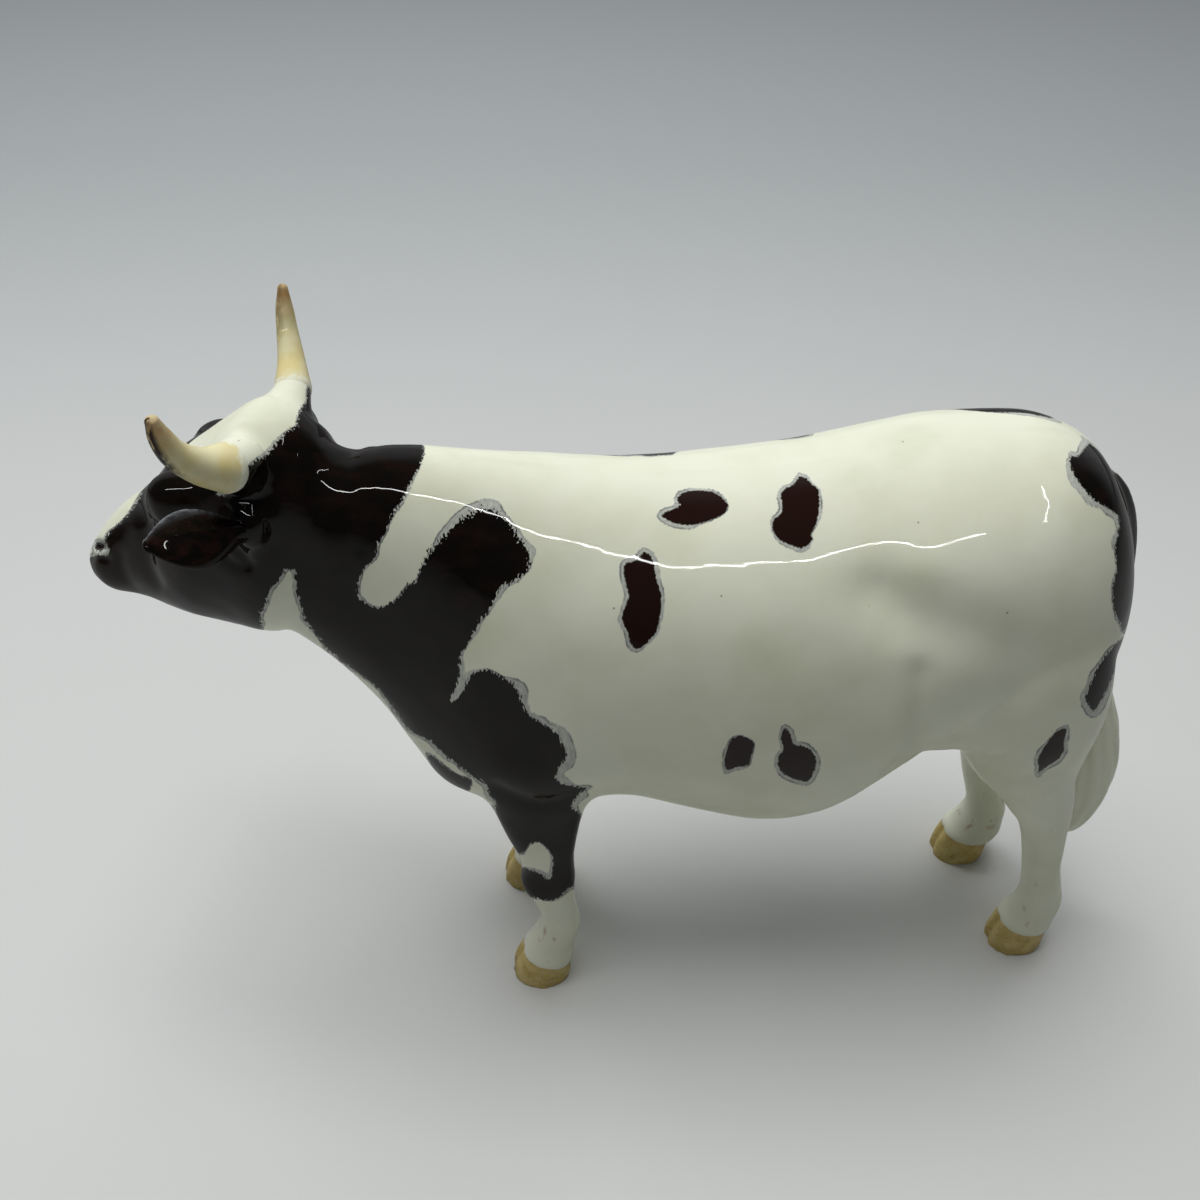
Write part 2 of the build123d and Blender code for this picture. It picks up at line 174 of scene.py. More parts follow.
hindleg_rows = (
    (0, 0, 0, 13.3, 11.6), (4.8, 0.25, 0, 12.6, 11.2), (9, 0.8, 0, 11.2, 10.5), (9.6, 1.2, 0, 10.1, 10),
    (13.1, 2, 0, 9.7, 9.5), (16.5, 2.1, 0, 9.3, 8.8), (21.5, 0.9, 0, 8.4, 8.1), (27.4, -0.7, 0, 8, 7.6),
    (33.8, -2.1, 0, 8.6, 8), (39.2, -3.6, 0, 9.7, 9), (44.2, -5.2, 0, 11.6, 10.2),
    (49.1, -7.4, 0, 14.4, 11.8), (54.1, -10, 0, 17.2, 13.6), (59, -13, 0, 20.4, 16),
    (67.1, -15.7, -0.4, 25.6, 18.4), (75.9, -18.7, -0.7, 32, 21), (88, -21.7, -0.7, 34, 22),
    (100.2, -24.2, 0.7, 30, 20), (112, -28.2, 2.2, 18, 14),
)
# By limb: its sections, the height of its seam, and how far it leans to the left up there
limbs = {"front": (foreleg_rows, 48.0, 0.0), "rear": (hindleg_rows, 59.0, 1.4)}
# By limb: height and place aft of the sole where it joins the trunk, and how far along X and
# up the soft joint reaches
limb_joints = {"front": (57.0, 0.0), "rear": (66.0, -12.0)}
joint_depth, joint_height = 22, 20
# By limb: middle and reach, aft of the sole, of the quads that may be its own
limb_windows = {"front": (0.0, 12), "rear": (-6.0, 20)}

# Tail sections: height, place aft of mid wheelbase, depth and width (mm)
tail_rows = (
    (118, 43.1, 4.5, 4.5), (114.2, 46.1, 5.4, 5.4), (106.7, 49.6, 5.6, 5.6), (95.4, 52.2, 5.6, 5.6),
    (82.3, 53.9, 5.4, 5.4), (71, 55.8, 6.1, 6.1), (62.5, 57.9, 8.2, 8.3), (54.1, 60, 10.4, 10.6),
    (44.7, 61.1, 11.8, 12), (35.3, 61.1, 11.6, 11.4), (28.2, 60.6, 9.4, 8.6), (24.6, 60.2, 5.4, 4.4),
)
# Middle of the bag aft of mid wheelbase, height of its floor, its radii and those of a teat
udder_middle, udder_floor, teat_aside = 34.9, 59.4, 3.3
bag_radii, teat_radii = (9.3, 7.2, 6.6), (1.25, 1.25, 2.7)
# Fold of the flank: aft of mid wheelbase, outward and height of its middle, then its radii
flank_fold = ((19.4, 15.9, 75.0), (9.0, 4.5, 5.5))

# The point of the frame, along X and Y, that the head's own axes stand on
head_pivot = (-60.6, 0.6)
# In those axes, ahead, outward and up from the shelf: brow and seat of the ear, with their
# radii, and the roots of horn and ear, with the reach of the soft joint round them
head_eggs = (((14.6, 7.9, 117.9), (5.7, 4.0, 5.4)), ((2.0, 11.0, 117.6), (4.0, 3.0, 4.2)))
head_roots = (((2.6, 10.6, 128.0), 5.5), ((3.0, 11.0, 117.6), 4.5))
# Path of a horn in the same axes, and its radii in shares of horn_radius
horn_path = (
    (2, 7.5, 127), (3, 11.9, 128.8), (4.6, 15.7, 131.2), (6.1, 18.7, 134.7), (6.8, 20.2, 138.3),
    (7, 21, 141.5),
)
horn_radius_shares = (1.25, 1.04, 0.72, 0.56, 0.45, 0.26)
# Ear: root, axis and back direction in the head's axes, then sections as place, width,
# back thickness and dish of the front in shares of its length, width and thickness
ear_root = (2.6, 12.6, 117.6)
ear_axis = (0.57, 0.78, 0.27)
ear_back = (-0.56, 0.31, 0.77)
ear_shares = (
    (-0.3, 0.3, 0.6, -0.6), (0.02, 0.42, 0.66, -0.5), (0.16, 0.66, 0.66, -0.14), (0.34, 0.92, 0.62, 0.12),
    (0.52, 1, 0.54, 0.18), (0.7, 0.84, 0.44, 0.14), (0.86, 0.52, 0.34, 0.02), (0.96, 0.24, 0.22, -0.06),
)

# Outlines of the patches, as they lie in the 1200 x 1200 photograph, in pixels
front_dark = (
    (430, 425), (425, 447), (420, 465), (410, 482), (402, 500), (392, 515), (385, 532), (377, 545),
    (375, 557), (362, 570), (357, 590), (362, 600), (375, 608), (390, 605), (400, 595), (408, 585),
    (415, 582), (420, 572), (426, 558), (440, 540), (450, 530), (464, 518), (480, 510), (496, 512),
    (512, 526), (520, 540), (528, 552), (529, 566), (516, 580), (500, 588), (490, 608), (478, 624),
    (472, 636), (462, 652), (460, 660), (457, 684), (450, 699), (453, 702), (463, 692), (469, 678),
    (484, 670), (500, 676), (516, 688), (524, 708), (536, 720), (552, 730), (562, 742), (566, 758),
    (558, 768), (556, 780), (572, 786), (586, 788), (578, 795), (573, 802), (571, 806), (577, 812),
    (590, 827), (590, 880), (571, 887), (565, 892), (558, 898), (553, 900), (546, 900), (537, 898),
    (522, 893), (505, 868), (490, 850), (478, 820), (496, 820), (496, 812), (495, 800), (490, 796),
    (486, 784), (476, 778), (460, 766), (444, 754), (432, 742), (420, 736), (408, 728), (396, 712),
    (380, 690), (365, 678), (350, 668), (330, 662), (200, 660), (20, 640), (20, 230), (430, 230),
)
brisket_dark = (
    (426, 754), (434, 757), (446, 767), (458, 775), (471, 780), (467, 792), (450, 788), (436, 775),
)
spot_notched = (
    (680, 494), (690, 491), (704, 491), (715, 493), (724, 500), (728, 507), (722, 515), (710, 520),
    (700, 523), (690, 525), (674, 523), (664, 518), (662, 515), (668, 511), (678, 508), (681, 505),
    (677, 500),
)
spot_tall = (
    (800, 476), (806, 478), (811, 484), (818, 490), (819, 508), (816, 524), (811, 534), (812, 540),
    (806, 546), (799, 548), (792, 545), (780, 540), (773, 530), (774, 520), (782, 512), (782, 502),
    (781, 494), (786, 488), (793, 485),
)
spot_flank = (
    (644, 552), (650, 556), (654, 566), (656, 578), (661, 596), (660, 616), (656, 632), (646, 643),
    (638, 649), (631, 644), (628, 632), (622, 620), (625, 608), (629, 596), (626, 584), (624, 572),
    (625, 564), (636, 561),
)
spot_belly = (
    (733, 738), (742, 736), (754, 743), (751, 756), (748, 765), (736, 767), (726, 770), (725, 760),
    (728, 746),
)
spot_stemmed = (
    (784, 727), (789, 731), (794, 745), (803, 746), (814, 754), (816, 764), (813, 774), (808, 781),
    (798, 780), (784, 774), (778, 764), (780, 754), (784, 750), (781, 738),
)
rump_dark = (
    (1072, 456), (1080, 455), (1100, 440), (1190, 440), (1190, 625), (1132, 625), (1124, 632),
    (1120, 622), (1114, 608), (1113, 588), (1117, 568), (1115, 548), (1119, 530), (1118, 516),
    (1108, 508), (1096, 501), (1084, 489), (1074, 474), (1070, 462),
)
rump_low_dark = (
    (1124, 638), (1114, 646), (1103, 660), (1095, 673), (1089, 689), (1085, 698), (1089, 705),
    (1093, 711), (1098, 706), (1107, 689), (1113, 675), (1122, 658), (1150, 640),
)
thigh_dark = (
    (1066, 728), (1065, 737), (1063, 744), (1064, 749), (1059, 758), (1051, 764), (1042, 770),
    (1038, 775), (1039, 767), (1038, 760), (1042, 751), (1049, 740), (1058, 731),
)
# White places inside the dark of the head, neck and foreleg
poll_white = (
    (219, 499), (230, 490), (242, 472), (255, 462), (267, 455), (277, 442), (287, 432), (297, 426),
    (310, 420), (317, 411), (316, 398), (316, 380), (290, 350), (236, 380), (180, 430), (190, 450),
    (206, 466), (215, 488),
)
throat_white = (
    (289, 566), (295, 574), (297, 592), (301, 605), (305, 620), (315, 633), (326, 648), (340, 664),
    (330, 690), (270, 660), (262, 625), (260, 615), (265, 605), (270, 590), (278, 580),
)
knee_white = (
    (535, 842), (541, 842), (547, 848), (553, 857), (553, 867), (551, 877), (547, 880), (543, 875),
    (538, 873), (530, 870), (524, 868), (505, 862), (500, 840), (517, 853), (525, 851), (529, 845),
)
blaze_white = (
    (142, 494), (137, 502), (130, 512), (121, 522), (112, 530), (106, 537), (105, 543), (109, 549),
    (107, 556), (99, 555), (91, 557), (60, 562), (50, 500), (120, 450),
)
nostril_place = (99.5, 546.5)
# Where the shoulder's edge is hairiest, from where back and up to where down its wash is wide,
# where the blaze's edge turns clean, and where the far patches' edges begin to waver
hairy_place, hairy_reach = (480, 545), 60
wide_wash_from, wide_wash_to = 425, 815
clean_blaze_from, far_waver_from = 541, 490
# Patches of the far side, as its mirror image would lie in the same photograph
far_dark = {
    "far_shoulder": (
        (470, 545), (520, 532), (556, 548), (562, 590), (542, 632), (512, 662), (482, 694), (450, 664),
        (455, 604), (458, 570),
    ),
    "far_back": (
        (598, 516), (640, 506), (690, 511), (704, 540), (684, 582), (650, 602), (612, 592), (592, 550),
    ),
    "far_loin": ((796, 520), (820, 507), (846, 512), (854, 544), (838, 574), (812, 569), (792, 546)),
    "far_flank": (
        (700, 646), (740, 632), (782, 646), (800, 692), (780, 736), (740, 746), (706, 718), (690, 680),
    ),
    "far_belly": ((860, 690), (885, 682), (896, 700), (880, 724), (858, 716)),
    "far_rump": (
        (1004, 474), (1022, 461), (1046, 453), (1062, 449), (1074, 452), (1084, 466), (1088, 520),
        (1058, 565), (1020, 572), (1000, 545), (992, 506),
    ),
    "far_thigh": ((1010, 640), (1036, 630), (1050, 660), (1040, 700), (1014, 706), (1000, 672)),
}

# Touches of the modelling tool, each a path of pixels on the near side of the photograph with
# its half width in millimetres and its depth, below zero where clay stands up
head_touches = (
    (((139, 503), (143, 514), (148, 526), (147, 536)), 1.2, 0.6),
    (((146, 548), (148, 562), (153, 575), (158, 585)), 1.2, 0.5),
    (((119, 556), (121, 570), (127, 582), (134, 591)), 1.1, 0.4),
    (((90, 558), (98, 556), (107, 560)), 0.7, 0.45), (((97, 546.5), (102, 546.5)), 0.75, 1.5),
    (((93, 551), (99, 553), (106, 550), (104, 542)), 0.7, -0.45),
    (((271, 486), (273, 510), (279, 545), (291, 572)), 2.6, 0.6),
    (((235, 546), (243, 557), (251, 566)), 0.8, 0.6), (((221, 552), (231, 563), (246, 569)), 0.8, 0.5),
    (((226, 510), (236, 520), (239, 530)), 0.9, 0.5), (((290, 455), (290, 500), (296, 560)), 1.6, 0.3),
    (((313, 455), (313, 500), (314, 570)), 1.3, 0.24), (((345, 455), (345, 500), (344, 560)), 1.6, 0.3),
    (((366, 455), (366, 500), (360, 550)), 1.2, 0.18),
)
body_touches = (
    (((882, 592), (914, 613), (945, 626), (978, 638), (1010, 649)), 5.4, 1.35),
    (((882, 566), (905, 572), (932, 568)), 4, -0.42), (((920, 676), (919, 705), (917, 738)), 2, 0.6),
    (((896, 660), (899, 700), (897, 735)), 3.6, -0.45), (((842, 632), (852, 668)), 8, -0.35),
    (((985, 690), (975, 725)), 6.5, -0.35), (((925, 547), (955, 538), (985, 532)), 4, -0.14),
    (((968, 752), (984, 756), (1002, 754)), 0.6, 0.35),
    (((884, 775), (905, 758), (930, 746), (960, 750), (984, 766)), 0.7, 0.35),
    (((880, 784), (898, 772), (914, 761)), 0.5, 0.25),
    (((985, 768), (1012, 778), (1060, 770)), 1.3, 0.25),
    (((498, 786), (518, 796), (540, 803), (562, 800), (583, 790)), 1.5, 0.75),
    (((500, 774), (540, 782), (572, 774)), 5, -0.7), (((352, 604), (398, 654), (428, 704)), 5, 0.5),
    (((600, 700), (640, 640), (690, 600)), 8, -0.3), (((560, 690), (590, 740)), 7, 0.4),
)
# Places in the frame where clay stands out, by leg: ahead of the sole, height, reach, amount
leg_lumps = {
    "rear_right": ((6.2, 9.8, 2.8, 1.3),),
    "rear_left": ((5.2, 10, 2.6, 0.2), (-10.5, 50, 5, 0.4)),
    "front_left": ((-2, 31, 4.5, 0.5),),
    "front_right": ((-2, 31, 4.5, 0.5),),
}
# How far each pastern stands aft of its table
pastern_shift = {"front_left": 1.3, "front_right": 1.3, "rear_right": 1.4, "rear_left": 0.0}


def to_right(vectors, turn):
    """Vectors turned about the vertical by turn radians, so that the muzzle looks to the right."""
    cos_turn, sin_turn = math.cos(turn), math.sin(turn)
    x, y, z = np.moveaxis(np.asarray(vectors, float), -1, 0)
    return np.stack([x * cos_turn + y * sin_turn, y * cos_turn - x * sin_turn, z], -1)


def on_head(places, side):
    """Places in the head's own axes, on its right side for 1 and on its left for -1."""
    places = np.array(places, float) * (-1, side, 1)
    return to_right(places, bpy.context.scene.cow_form.head_turn) + (*head_pivot, 0)


def smooth_rows(rows, steps):
    """Rows joined by Catmull-Rom curves, with steps rows for each one given."""
    rows = np.asarray(rows, float)
    before = np.vstack([2 * rows[0] - rows[1], rows[:-2]])
    after = np.vstack([rows[2:], 2 * rows[-1] - rows[-2]])
    share = (np.arange(steps) / steps)[None, :, None]
    a, b, c, d = before[:, None], rows[:-1, None], rows[1:, None], after[:, None]
    curve = 0.5 * (2 * b + (c - a) * share + (2 * a - 5 * b + 4 * c - d) * share ** 2
                   + (3 * b - a - 3 * c + d) * share ** 3)
    return np.vstack([curve.reshape(-1, rows.shape[1]), rows[-1:]])


def ring_grid(rows, count, power=0.94):
    """Rings of section rows, each the centre plus the side times the cosine of an angle plus
    the up or down arm times its sine, both to a power."""
    centre, side, up, down = (rows[:, None, k:k + 3] for k in (0, 3, 6, 9))
    angle = 2 * np.pi * (np.arange(count) + 0.5)[:, None] / count
    across = np.sign(np.cos(angle)) * np.abs(np.cos(angle)) ** power
    return centre + side * across + np.where(np.sin(angle) > 0, up, down) * np.abs(np.sin(angle)) ** power


def tube(grid):
    """Points and faces of rings joined by quads and closed by a fan at each end."""
    rings, count = grid.shape[:2]
    points = np.vstack([grid.reshape(-1, 3), grid[0].mean(0), grid[-1].mean(0)])
    index = np.arange(rings * count).reshape(rings, count)
    after = np.roll(index, -1, axis=1)
    quads = np.stack([index[:-1], after[:-1], after[1:], index[1:]], -1).reshape(-1, 4)
    first = np.column_stack([after[0], index[0], np.full(count, rings * count)])
    last = np.column_stack([index[-1], after[-1], np.full(count, rings * count + 1)])
    return points, quads.tolist() + first.tolist() + last.tolist()


def domed(rows, depth, count=6):
    """Section rows with a rounded end: each further ring moves out by depth times the sine
    of its angle and shrinks by the cosine."""
    way = rows[-1, :3] - rows[-2, :3]
    way = way / np.linalg.norm(way)
    angle = np.linspace(0, math.radians(84), count + 1)[1:, None]
    middles = rows[-1, :3] + way * depth * np.sin(angle)
    return np.vstack([rows, np.hstack([middles, rows[-1, 3:] * np.cos(angle)])])


def level_rows(x, y, z, depth, width):
    """Level sections round places: half the depth along X and half the width along Y."""
    zero = np.zeros_like(z)
    half = width / 2
    return np.stack([x + zero, y + zero, z, depth / 2, zero, zero, zero, half, zero, zero, -half, zero], -1)


def egg(centre, radii, count=16):
    """A closed egg: rings whose radius is the sine and whose height is the cosine of an angle."""
    angle = np.linspace(0.12, np.pi - 0.12, count)
    round_x, round_y = 2 * radii[0] * np.sin(angle), 2 * radii[1] * np.sin(angle)
    rows = level_rows(centre[0], centre[1], centre[2] - radii[2] * np.cos(angle), round_x, round_y)
    return tube(ring_grid(rows, 2 * count, 1.0))


def swept(path, radii, steps):
    """Round sections of changing radius along a smooth path, square to it."""
    rows = smooth_rows(np.column_stack([path, radii]), steps)
    centre, radius = rows[:, :3], rows[:, 3:]
    way = np.gradient(centre, axis=0)
    way /= np.linalg.norm(way, axis=1, keepdims=True)
    across = np.cross(way, (1.0, 0.0, 0.0))
    across /= np.linalg.norm(across, axis=1, keepdims=True)
    along = np.cross(across, way) * radius
    return np.hstack([centre, across * radius, along, -along])


def chain_rows(form):
    """Centre, side, up and down of every section from the muzzle to the rump: the rows of
    the tables, bent one after another by the turn of the head."""
    head, trunk = np.array(head_shares)[::-1], np.array(trunk_shares)
    size = np.array([form.trunk_length, form.hip_height]) / MM
    tops, lows = trunk[:, 0:2] * size, trunk[:, 2:4] * size
    seam = np.array([(tops[0, 0] + lows[0, 0]) / 2, lows[0, 1]])
    size = np.array([-form.head_length, form.head_depth]) / MM
    tops = np.insert(np.vstack([seam + head[:, 0:2] * size, tops]), 1, 0, axis=1)
    lows = np.insert(np.vstack([seam + head[:, 2:4] * size, lows]), 1, 0, axis=1)
    widths = np.append(head[:, 4] * form.head_width / MM / 2, trunk[:, 4] * form.barrel_width / MM / 2)
    shares = np.append(head[:, 5], np.full(len(trunk), trunk_middle_share))
    turns = np.zeros(len(widths))
    turns[:len(head)] = form.head_turn
    turns[len(head):len(head) + len(neck_turn_shares)] = form.head_turn * np.array(neck_turn_shares)
    middles = (tops + lows) / 2
    places = middles.copy()
    for index in range(len(places) - 2, -1, -1):
        step = middles[index] - middles[index + 1]
        places[index] = places[index + 1] + to_right(step, (turns[index] + turns[index + 1]) / 2)
    sections = []
    rows = zip(tops, lows, widths, shares, middles, places, turns)
    for top, low, width, share, middle, place, turn in rows:
        centre = low + (top - low) * share
        arms = np.array([centre - middle, [0, width, 0], top - centre, low - centre])
        offset, side, up, down = to_right(arms, turn)
        sections.append(np.concatenate([place + offset + [mid_x, plane_y, 0], side, up, down]))
    return np.array(sections)


def form_surfaces(form, chain):
    """Every closed surface that the skin goes round."""
    rows = domed(domed(smooth_rows(chain, 6)[::-1], 1.2)[::-1], 1.6)
    surfaces = [tube(ring_grid(rows, 96))]
    for name, foot in soles.items():
        table, seam, lean = limbs[name.split("_")[0]]
        height, aft, inward, depth, width = smooth_rows(table, 4).T
        y = foot[1] - lean * np.clip(height / seam, 0, 1) - math.copysign(1, foot[1] - plane_y) * inward
        surfaces.append(tube(ring_grid(level_rows(foot[0] + aft, y, height, depth, width), 48)))
    height, aft, depth, width = smooth_rows(tail_rows, 5).T
    surfaces.append(tube(ring_grid(level_rows(mid_x + aft, plane_y, height, depth, width), 40)))
    bag_x = mid_x + udder_middle
    surfaces.append(egg((bag_x, plane_y, udder_floor + 6.5), bag_radii))
    for ahead in (-teat_aside, teat_aside):
        for aside in (-teat_aside, teat_aside):
            surfaces.append(egg((bag_x + ahead, plane_y + aside, udder_floor + 0.6), teat_radii, 10))
    for side, girth in ((-1, 1.0), (1, 0.84)):
        radii = np.array(horn_radius_shares[:3]) * form.horn_radius / MM
        rows = swept(on_head(horn_path[:3], side), radii * (0.98, 1.0, 0.60) * girth, 6)
        surfaces.append(tube(ring_grid(rows, 32, 1.0)))
        surfaces += [egg(on_head(place, side), radii) for place, radii in head_eggs]
        (aft, outward, height), radii = flank_fold
        surfaces.append(egg((mid_x + aft, plane_y + side * outward, height), radii))
    return surfaces


def half_edges(quads):
    """The first sides of all quads, then their second sides, and so on."""
    return np.vstack([quads[:, [k, (k + 1) % 4]] for k in range(4)])


def edges_of(quads):
    """The edges of quads, each once."""
    half = np.sort(half_edges(quads), axis=1)
    key = half[:, 0] * (quads.max() + 1) + half[:, 1]
    return half[np.unique(key, return_index=True)[1]]


def spread(values, edges, weight, rounds):
    """Values moved towards the mean of their neighbours along the edges, by weight, each round."""
    values = values.copy()
    count = len(values)
    weight = np.reshape(weight, (-1, 1))
    first, second = edges.T
    degree = np.maximum(np.bincount(edges.ravel(), minlength=count), 1)
    for _ in range(rounds):
        mean = np.empty_like(values)
        for k in range(values.shape[1]):
            total = np.bincount(first, values[second, k], count)
            total += np.bincount(second, values[first, k], count)
            mean[:, k] = total / degree
        values += (mean - values) * weight
    return values


def normals_of(points, quads):
    """Point normals: the sum of the cross products of the diagonals of the quads round each."""
    a, b, c, d = points[quads.T]
    diagonal = np.cross(c - a, d - b)
    total = np.zeros_like(points)
    for corner in quads.T:
        for k in range(3):
            total[:, k] += np.bincount(corner, diagonal[:, k], len(points))
    return total / np.maximum(np.linalg.norm(total, axis=1, keepdims=True), 1e-12)


def run_distance(places, start, end):
    """Distance of each place from one straight run."""
    run = end - start
    share = np.clip(((places - start) @ run) / max(run @ run, 1e-9), 0, 1)
    return np.linalg.norm(places - start - share[:, None] * run, axis=1)


def outline_distance(places, outline):
    """Signed distance of flat places from a closed outline, below zero inside it."""
    best = np.full(len(places), np.inf)
    inside = np.zeros(len(places), bool)
    for start, end in zip(outline, np.roll(outline, -1, axis=0)):
        best = np.minimum(best, run_distance(places, start, end))
        rise = (end - start)[1]
        crosses = (start[1] > places[:, 1]) != (end[1] > places[:, 1])
        level = start[0] + (places[:, 1] - start[1]) / (rise if rise else 1e-9) * (end - start)[0]
        inside ^= crosses & (places[:, 0] < level)
    return np.where(inside, -best, best)


def in_photo(points):
    """Pixels of points in the photograph, and how many pixels make a millimetre there."""
    stage = bpy.context.scene.cow_stage
    axes = np.array(Euler(stage.camera_turn).to_matrix())
    x, y, z = ((points - np.array(stage.camera_place) / MM) @ axes).T
    focal = stage.lens / SENSOR_WIDTH * PHOTO_PIXELS
    centre = PHOTO_PIXELS / 2
    return np.stack([centre - focal * x / z, centre + focal * y / z], -1), -focal / z


def mesh_object(name, points, faces, normals=None):
    """A mesh object at the origin, smooth, in metres."""
    mesh = bpy.data.meshes.new(name)
    mesh.from_pydata((np.asarray(points) * MM).tolist(), [], faces)
    mesh.polygons.foreach_set("use_smooth", np.ones(len(mesh.polygons), bool))
    mesh.update()
    if normals is not None:
        mesh.normals_split_custom_set_from_vertices(normals.tolist())
    made = bpy.data.objects.new(name, mesh)
    bpy.context.collection.objects.link(made)
    return made


def add_attribute(made, name, values):
    """A number for each point of the mesh, for its material to read."""
    layer = made.data.attributes.new(name, "FLOAT", "POINT")
    layer.data.foreach_set("value", np.asarray(values, np.float32))


def united(surfaces, grain):
    """One skin round overlapping closed surfaces, as a square grained mesh."""
    points, faces, start = [], [], 0
    for surface_points, surface_faces in surfaces:
        points.append(surface_points)
        faces += [[start + index for index in face] for face in surface_faces]
        start += len(surface_points)
    made = mesh_object("united_form", np.vstack(points), faces)
    modifier = made.modifiers.new("skin", "REMESH")
    modifier.mode = "VOXEL"
    modifier.voxel_size = grain
    depsgraph = bpy.context.evaluated_depsgraph_get()
    skin = bpy.data.meshes.new_from_object(made.evaluated_get(depsgraph))
    skin_points = np.empty(len(skin.vertices) * 3)
    skin.vertices.foreach_get("co", skin_points)
    corners = np.empty(len(skin.loops), int)
    skin.loops.foreach_get("vertex_index", corners)
    bpy.data.objects.remove(made)
    bpy.data.meshes.remove(skin)
    return skin_points.reshape(-1, 3) / MM, corners.reshape(-1, 4)


def fold_head(points):
    """Points of the far side moved to the near side, across the middle plane of the head
    ahead of the neck and of the trunk behind it, the plane turning smoothly between."""
    x, y, _ = points.T
    share = 1 - np.clip((x - face_x) / neck_run, 0, 1)
    turn = bpy.context.scene.cow_form.head_turn * share
    base_x = head_pivot[0] * share + x * (1 - share)
    base_y = plane_y + (head_pivot[1] - plane_y) * share
    over = 2 * np.maximum((x - base_x) * np.sin(turn) + (y - base_y) * np.cos(turn), 0)
    return points - np.column_stack([over * np.sin(turn), over * np.cos(turn), 0 * over])


def touched(points, normals, touches):
    """Depth of the touches at each point: a bell of the distance from each path, alike on
    the near and the far side, and fading where the surface turns from the lens."""
    folded = fold_head(points)
    moved = fold_head(points + normals) - folded
    pixels, scale = in_photo(folded)
    view = np.array(bpy.context.scene.cow_stage.camera_place) / MM - folded
    facing = np.einsum("ij,ij->i", view, moved) / np.linalg.norm(view, axis=1)
    depth = np.zeros(len(points))
    for path, width, amount in touches:
        path = smooth_rows(path, 4)
        gap = np.min([run_distance(pixels, start, end) for start, end in zip(path[:-1], path[1:])], axis=0)
        depth += amount * np.exp(-(gap / scale / width) ** 2)
    return depth * np.clip(facing / 0.25, 0, 1)


def uneven_clay(points):
    """Slow unevenness of hand finished clay, as products of sines."""
    sides = np.where(points[:, 1] > plane_y, 1, -1)
    x, y, z = (points / 9.0).T
    return 0.10 * (np.sin(1.3 * x + 0.7 * z + 1.1 * sides) * np.sin(0.9 * z - 0.6 * x + 0.5 * y)
                   + 0.6 * np.sin(2.3 * x - 1.7 * z) * np.sin(1.9 * y + 1.1 * z)
                   + 0.3 * np.sin(5.1 * x + 2.2 * z) * np.sin(4.3 * z - 3.1 * y))


def joint_share(points):
    """1 where limbs, horns and ears leave the trunk and head, fading over their reach."""
    x, _, z = points.T
    joint = np.zeros(len(points))
    for name, foot in soles.items():
        level, aft = limb_joints[name.split("_")[0]]
        near = np.hypot((x - foot[0] - aft) / joint_depth, (z - level) / joint_height)
        joint = np.maximum(joint, np.exp(-near ** 4))
    for side in (-1, 1):
        for root, reach in head_roots:
            near = np.linalg.norm(points - on_head(root, side), axis=1) / reach
            joint = np.maximum(joint, np.exp(-near ** 4))
    return joint


def tail_at(height):
    """Middle, depth and width of the tail at heights."""
    rows = smooth_rows(tail_rows, 5)[::-1].T
    middle, depth, width = (np.interp(height, rows[0], row) for row in rows[1:])
    return middle + mid_x, depth, width


def tail_share(points):
    """1 on the tail and 0 off it, from the tail's own rows."""
    x, y, z = points.T
    middle, depth, width = tail_at(z)
    reach = np.hypot((x - middle) / (depth / 2 + 0.7), (y - plane_y) / (width / 2 + 0.7))
    reach = np.where((z > 22) & (z < 119), reach, 9.0)
    return np.clip((1.06 - reach) / 0.10, 0, 1)


def hooved(points, normals):
    """Hooves: the wall steps in under the skin, and a cleft parts the toes. Gives the points
    and how far below the edge of its hoof each one lies."""
    hoof = np.full(len(points), NO_HOOF)
    half_length, reach, step_in = 6.6, 10.5, 0.38
    cleft_width, cleft_depth, cleft_ahead, cleft_top = 0.8, 0.8, 2.5, 9.0
    for name, foot in soles.items():
        x, y, z = points.T
        ahead = np.clip((x - foot[0]) / half_length, -1.1, 1.1)
        edge = 7.3 - 1.6 * ahead - 0.7 * ahead ** 2 if name.startswith("front") else 7.6 - 0.6 * ahead
        near = np.hypot(x - foot[0] - 0.5, y - foot[1]) < reach
        depth = np.where(near, edge - z, NO_HOOF)
        hoof = np.maximum(hoof, depth)
        inset = step_in / (1 + np.exp(-np.clip(depth, -8, 8) / 0.25))
        cleft = np.exp(-((y - foot[1]) / cleft_width) ** 2) * (x < foot[0] - cleft_ahead) * near
        cleft = cleft * np.clip((cleft_top - z) / 2.0, 0, 1)
        away = normals * (inset * near + cleft_depth * cleft)[:, None]
        away[:, 2] = 0
        points = points - away
    return points, hoof


def standing(points, slack=0.35):
    """Points with the soles pressed flat on the shelf."""
    points[:, 2] = np.where(points[:, 2] < slack, 0.0, points[:, 2])
    return points


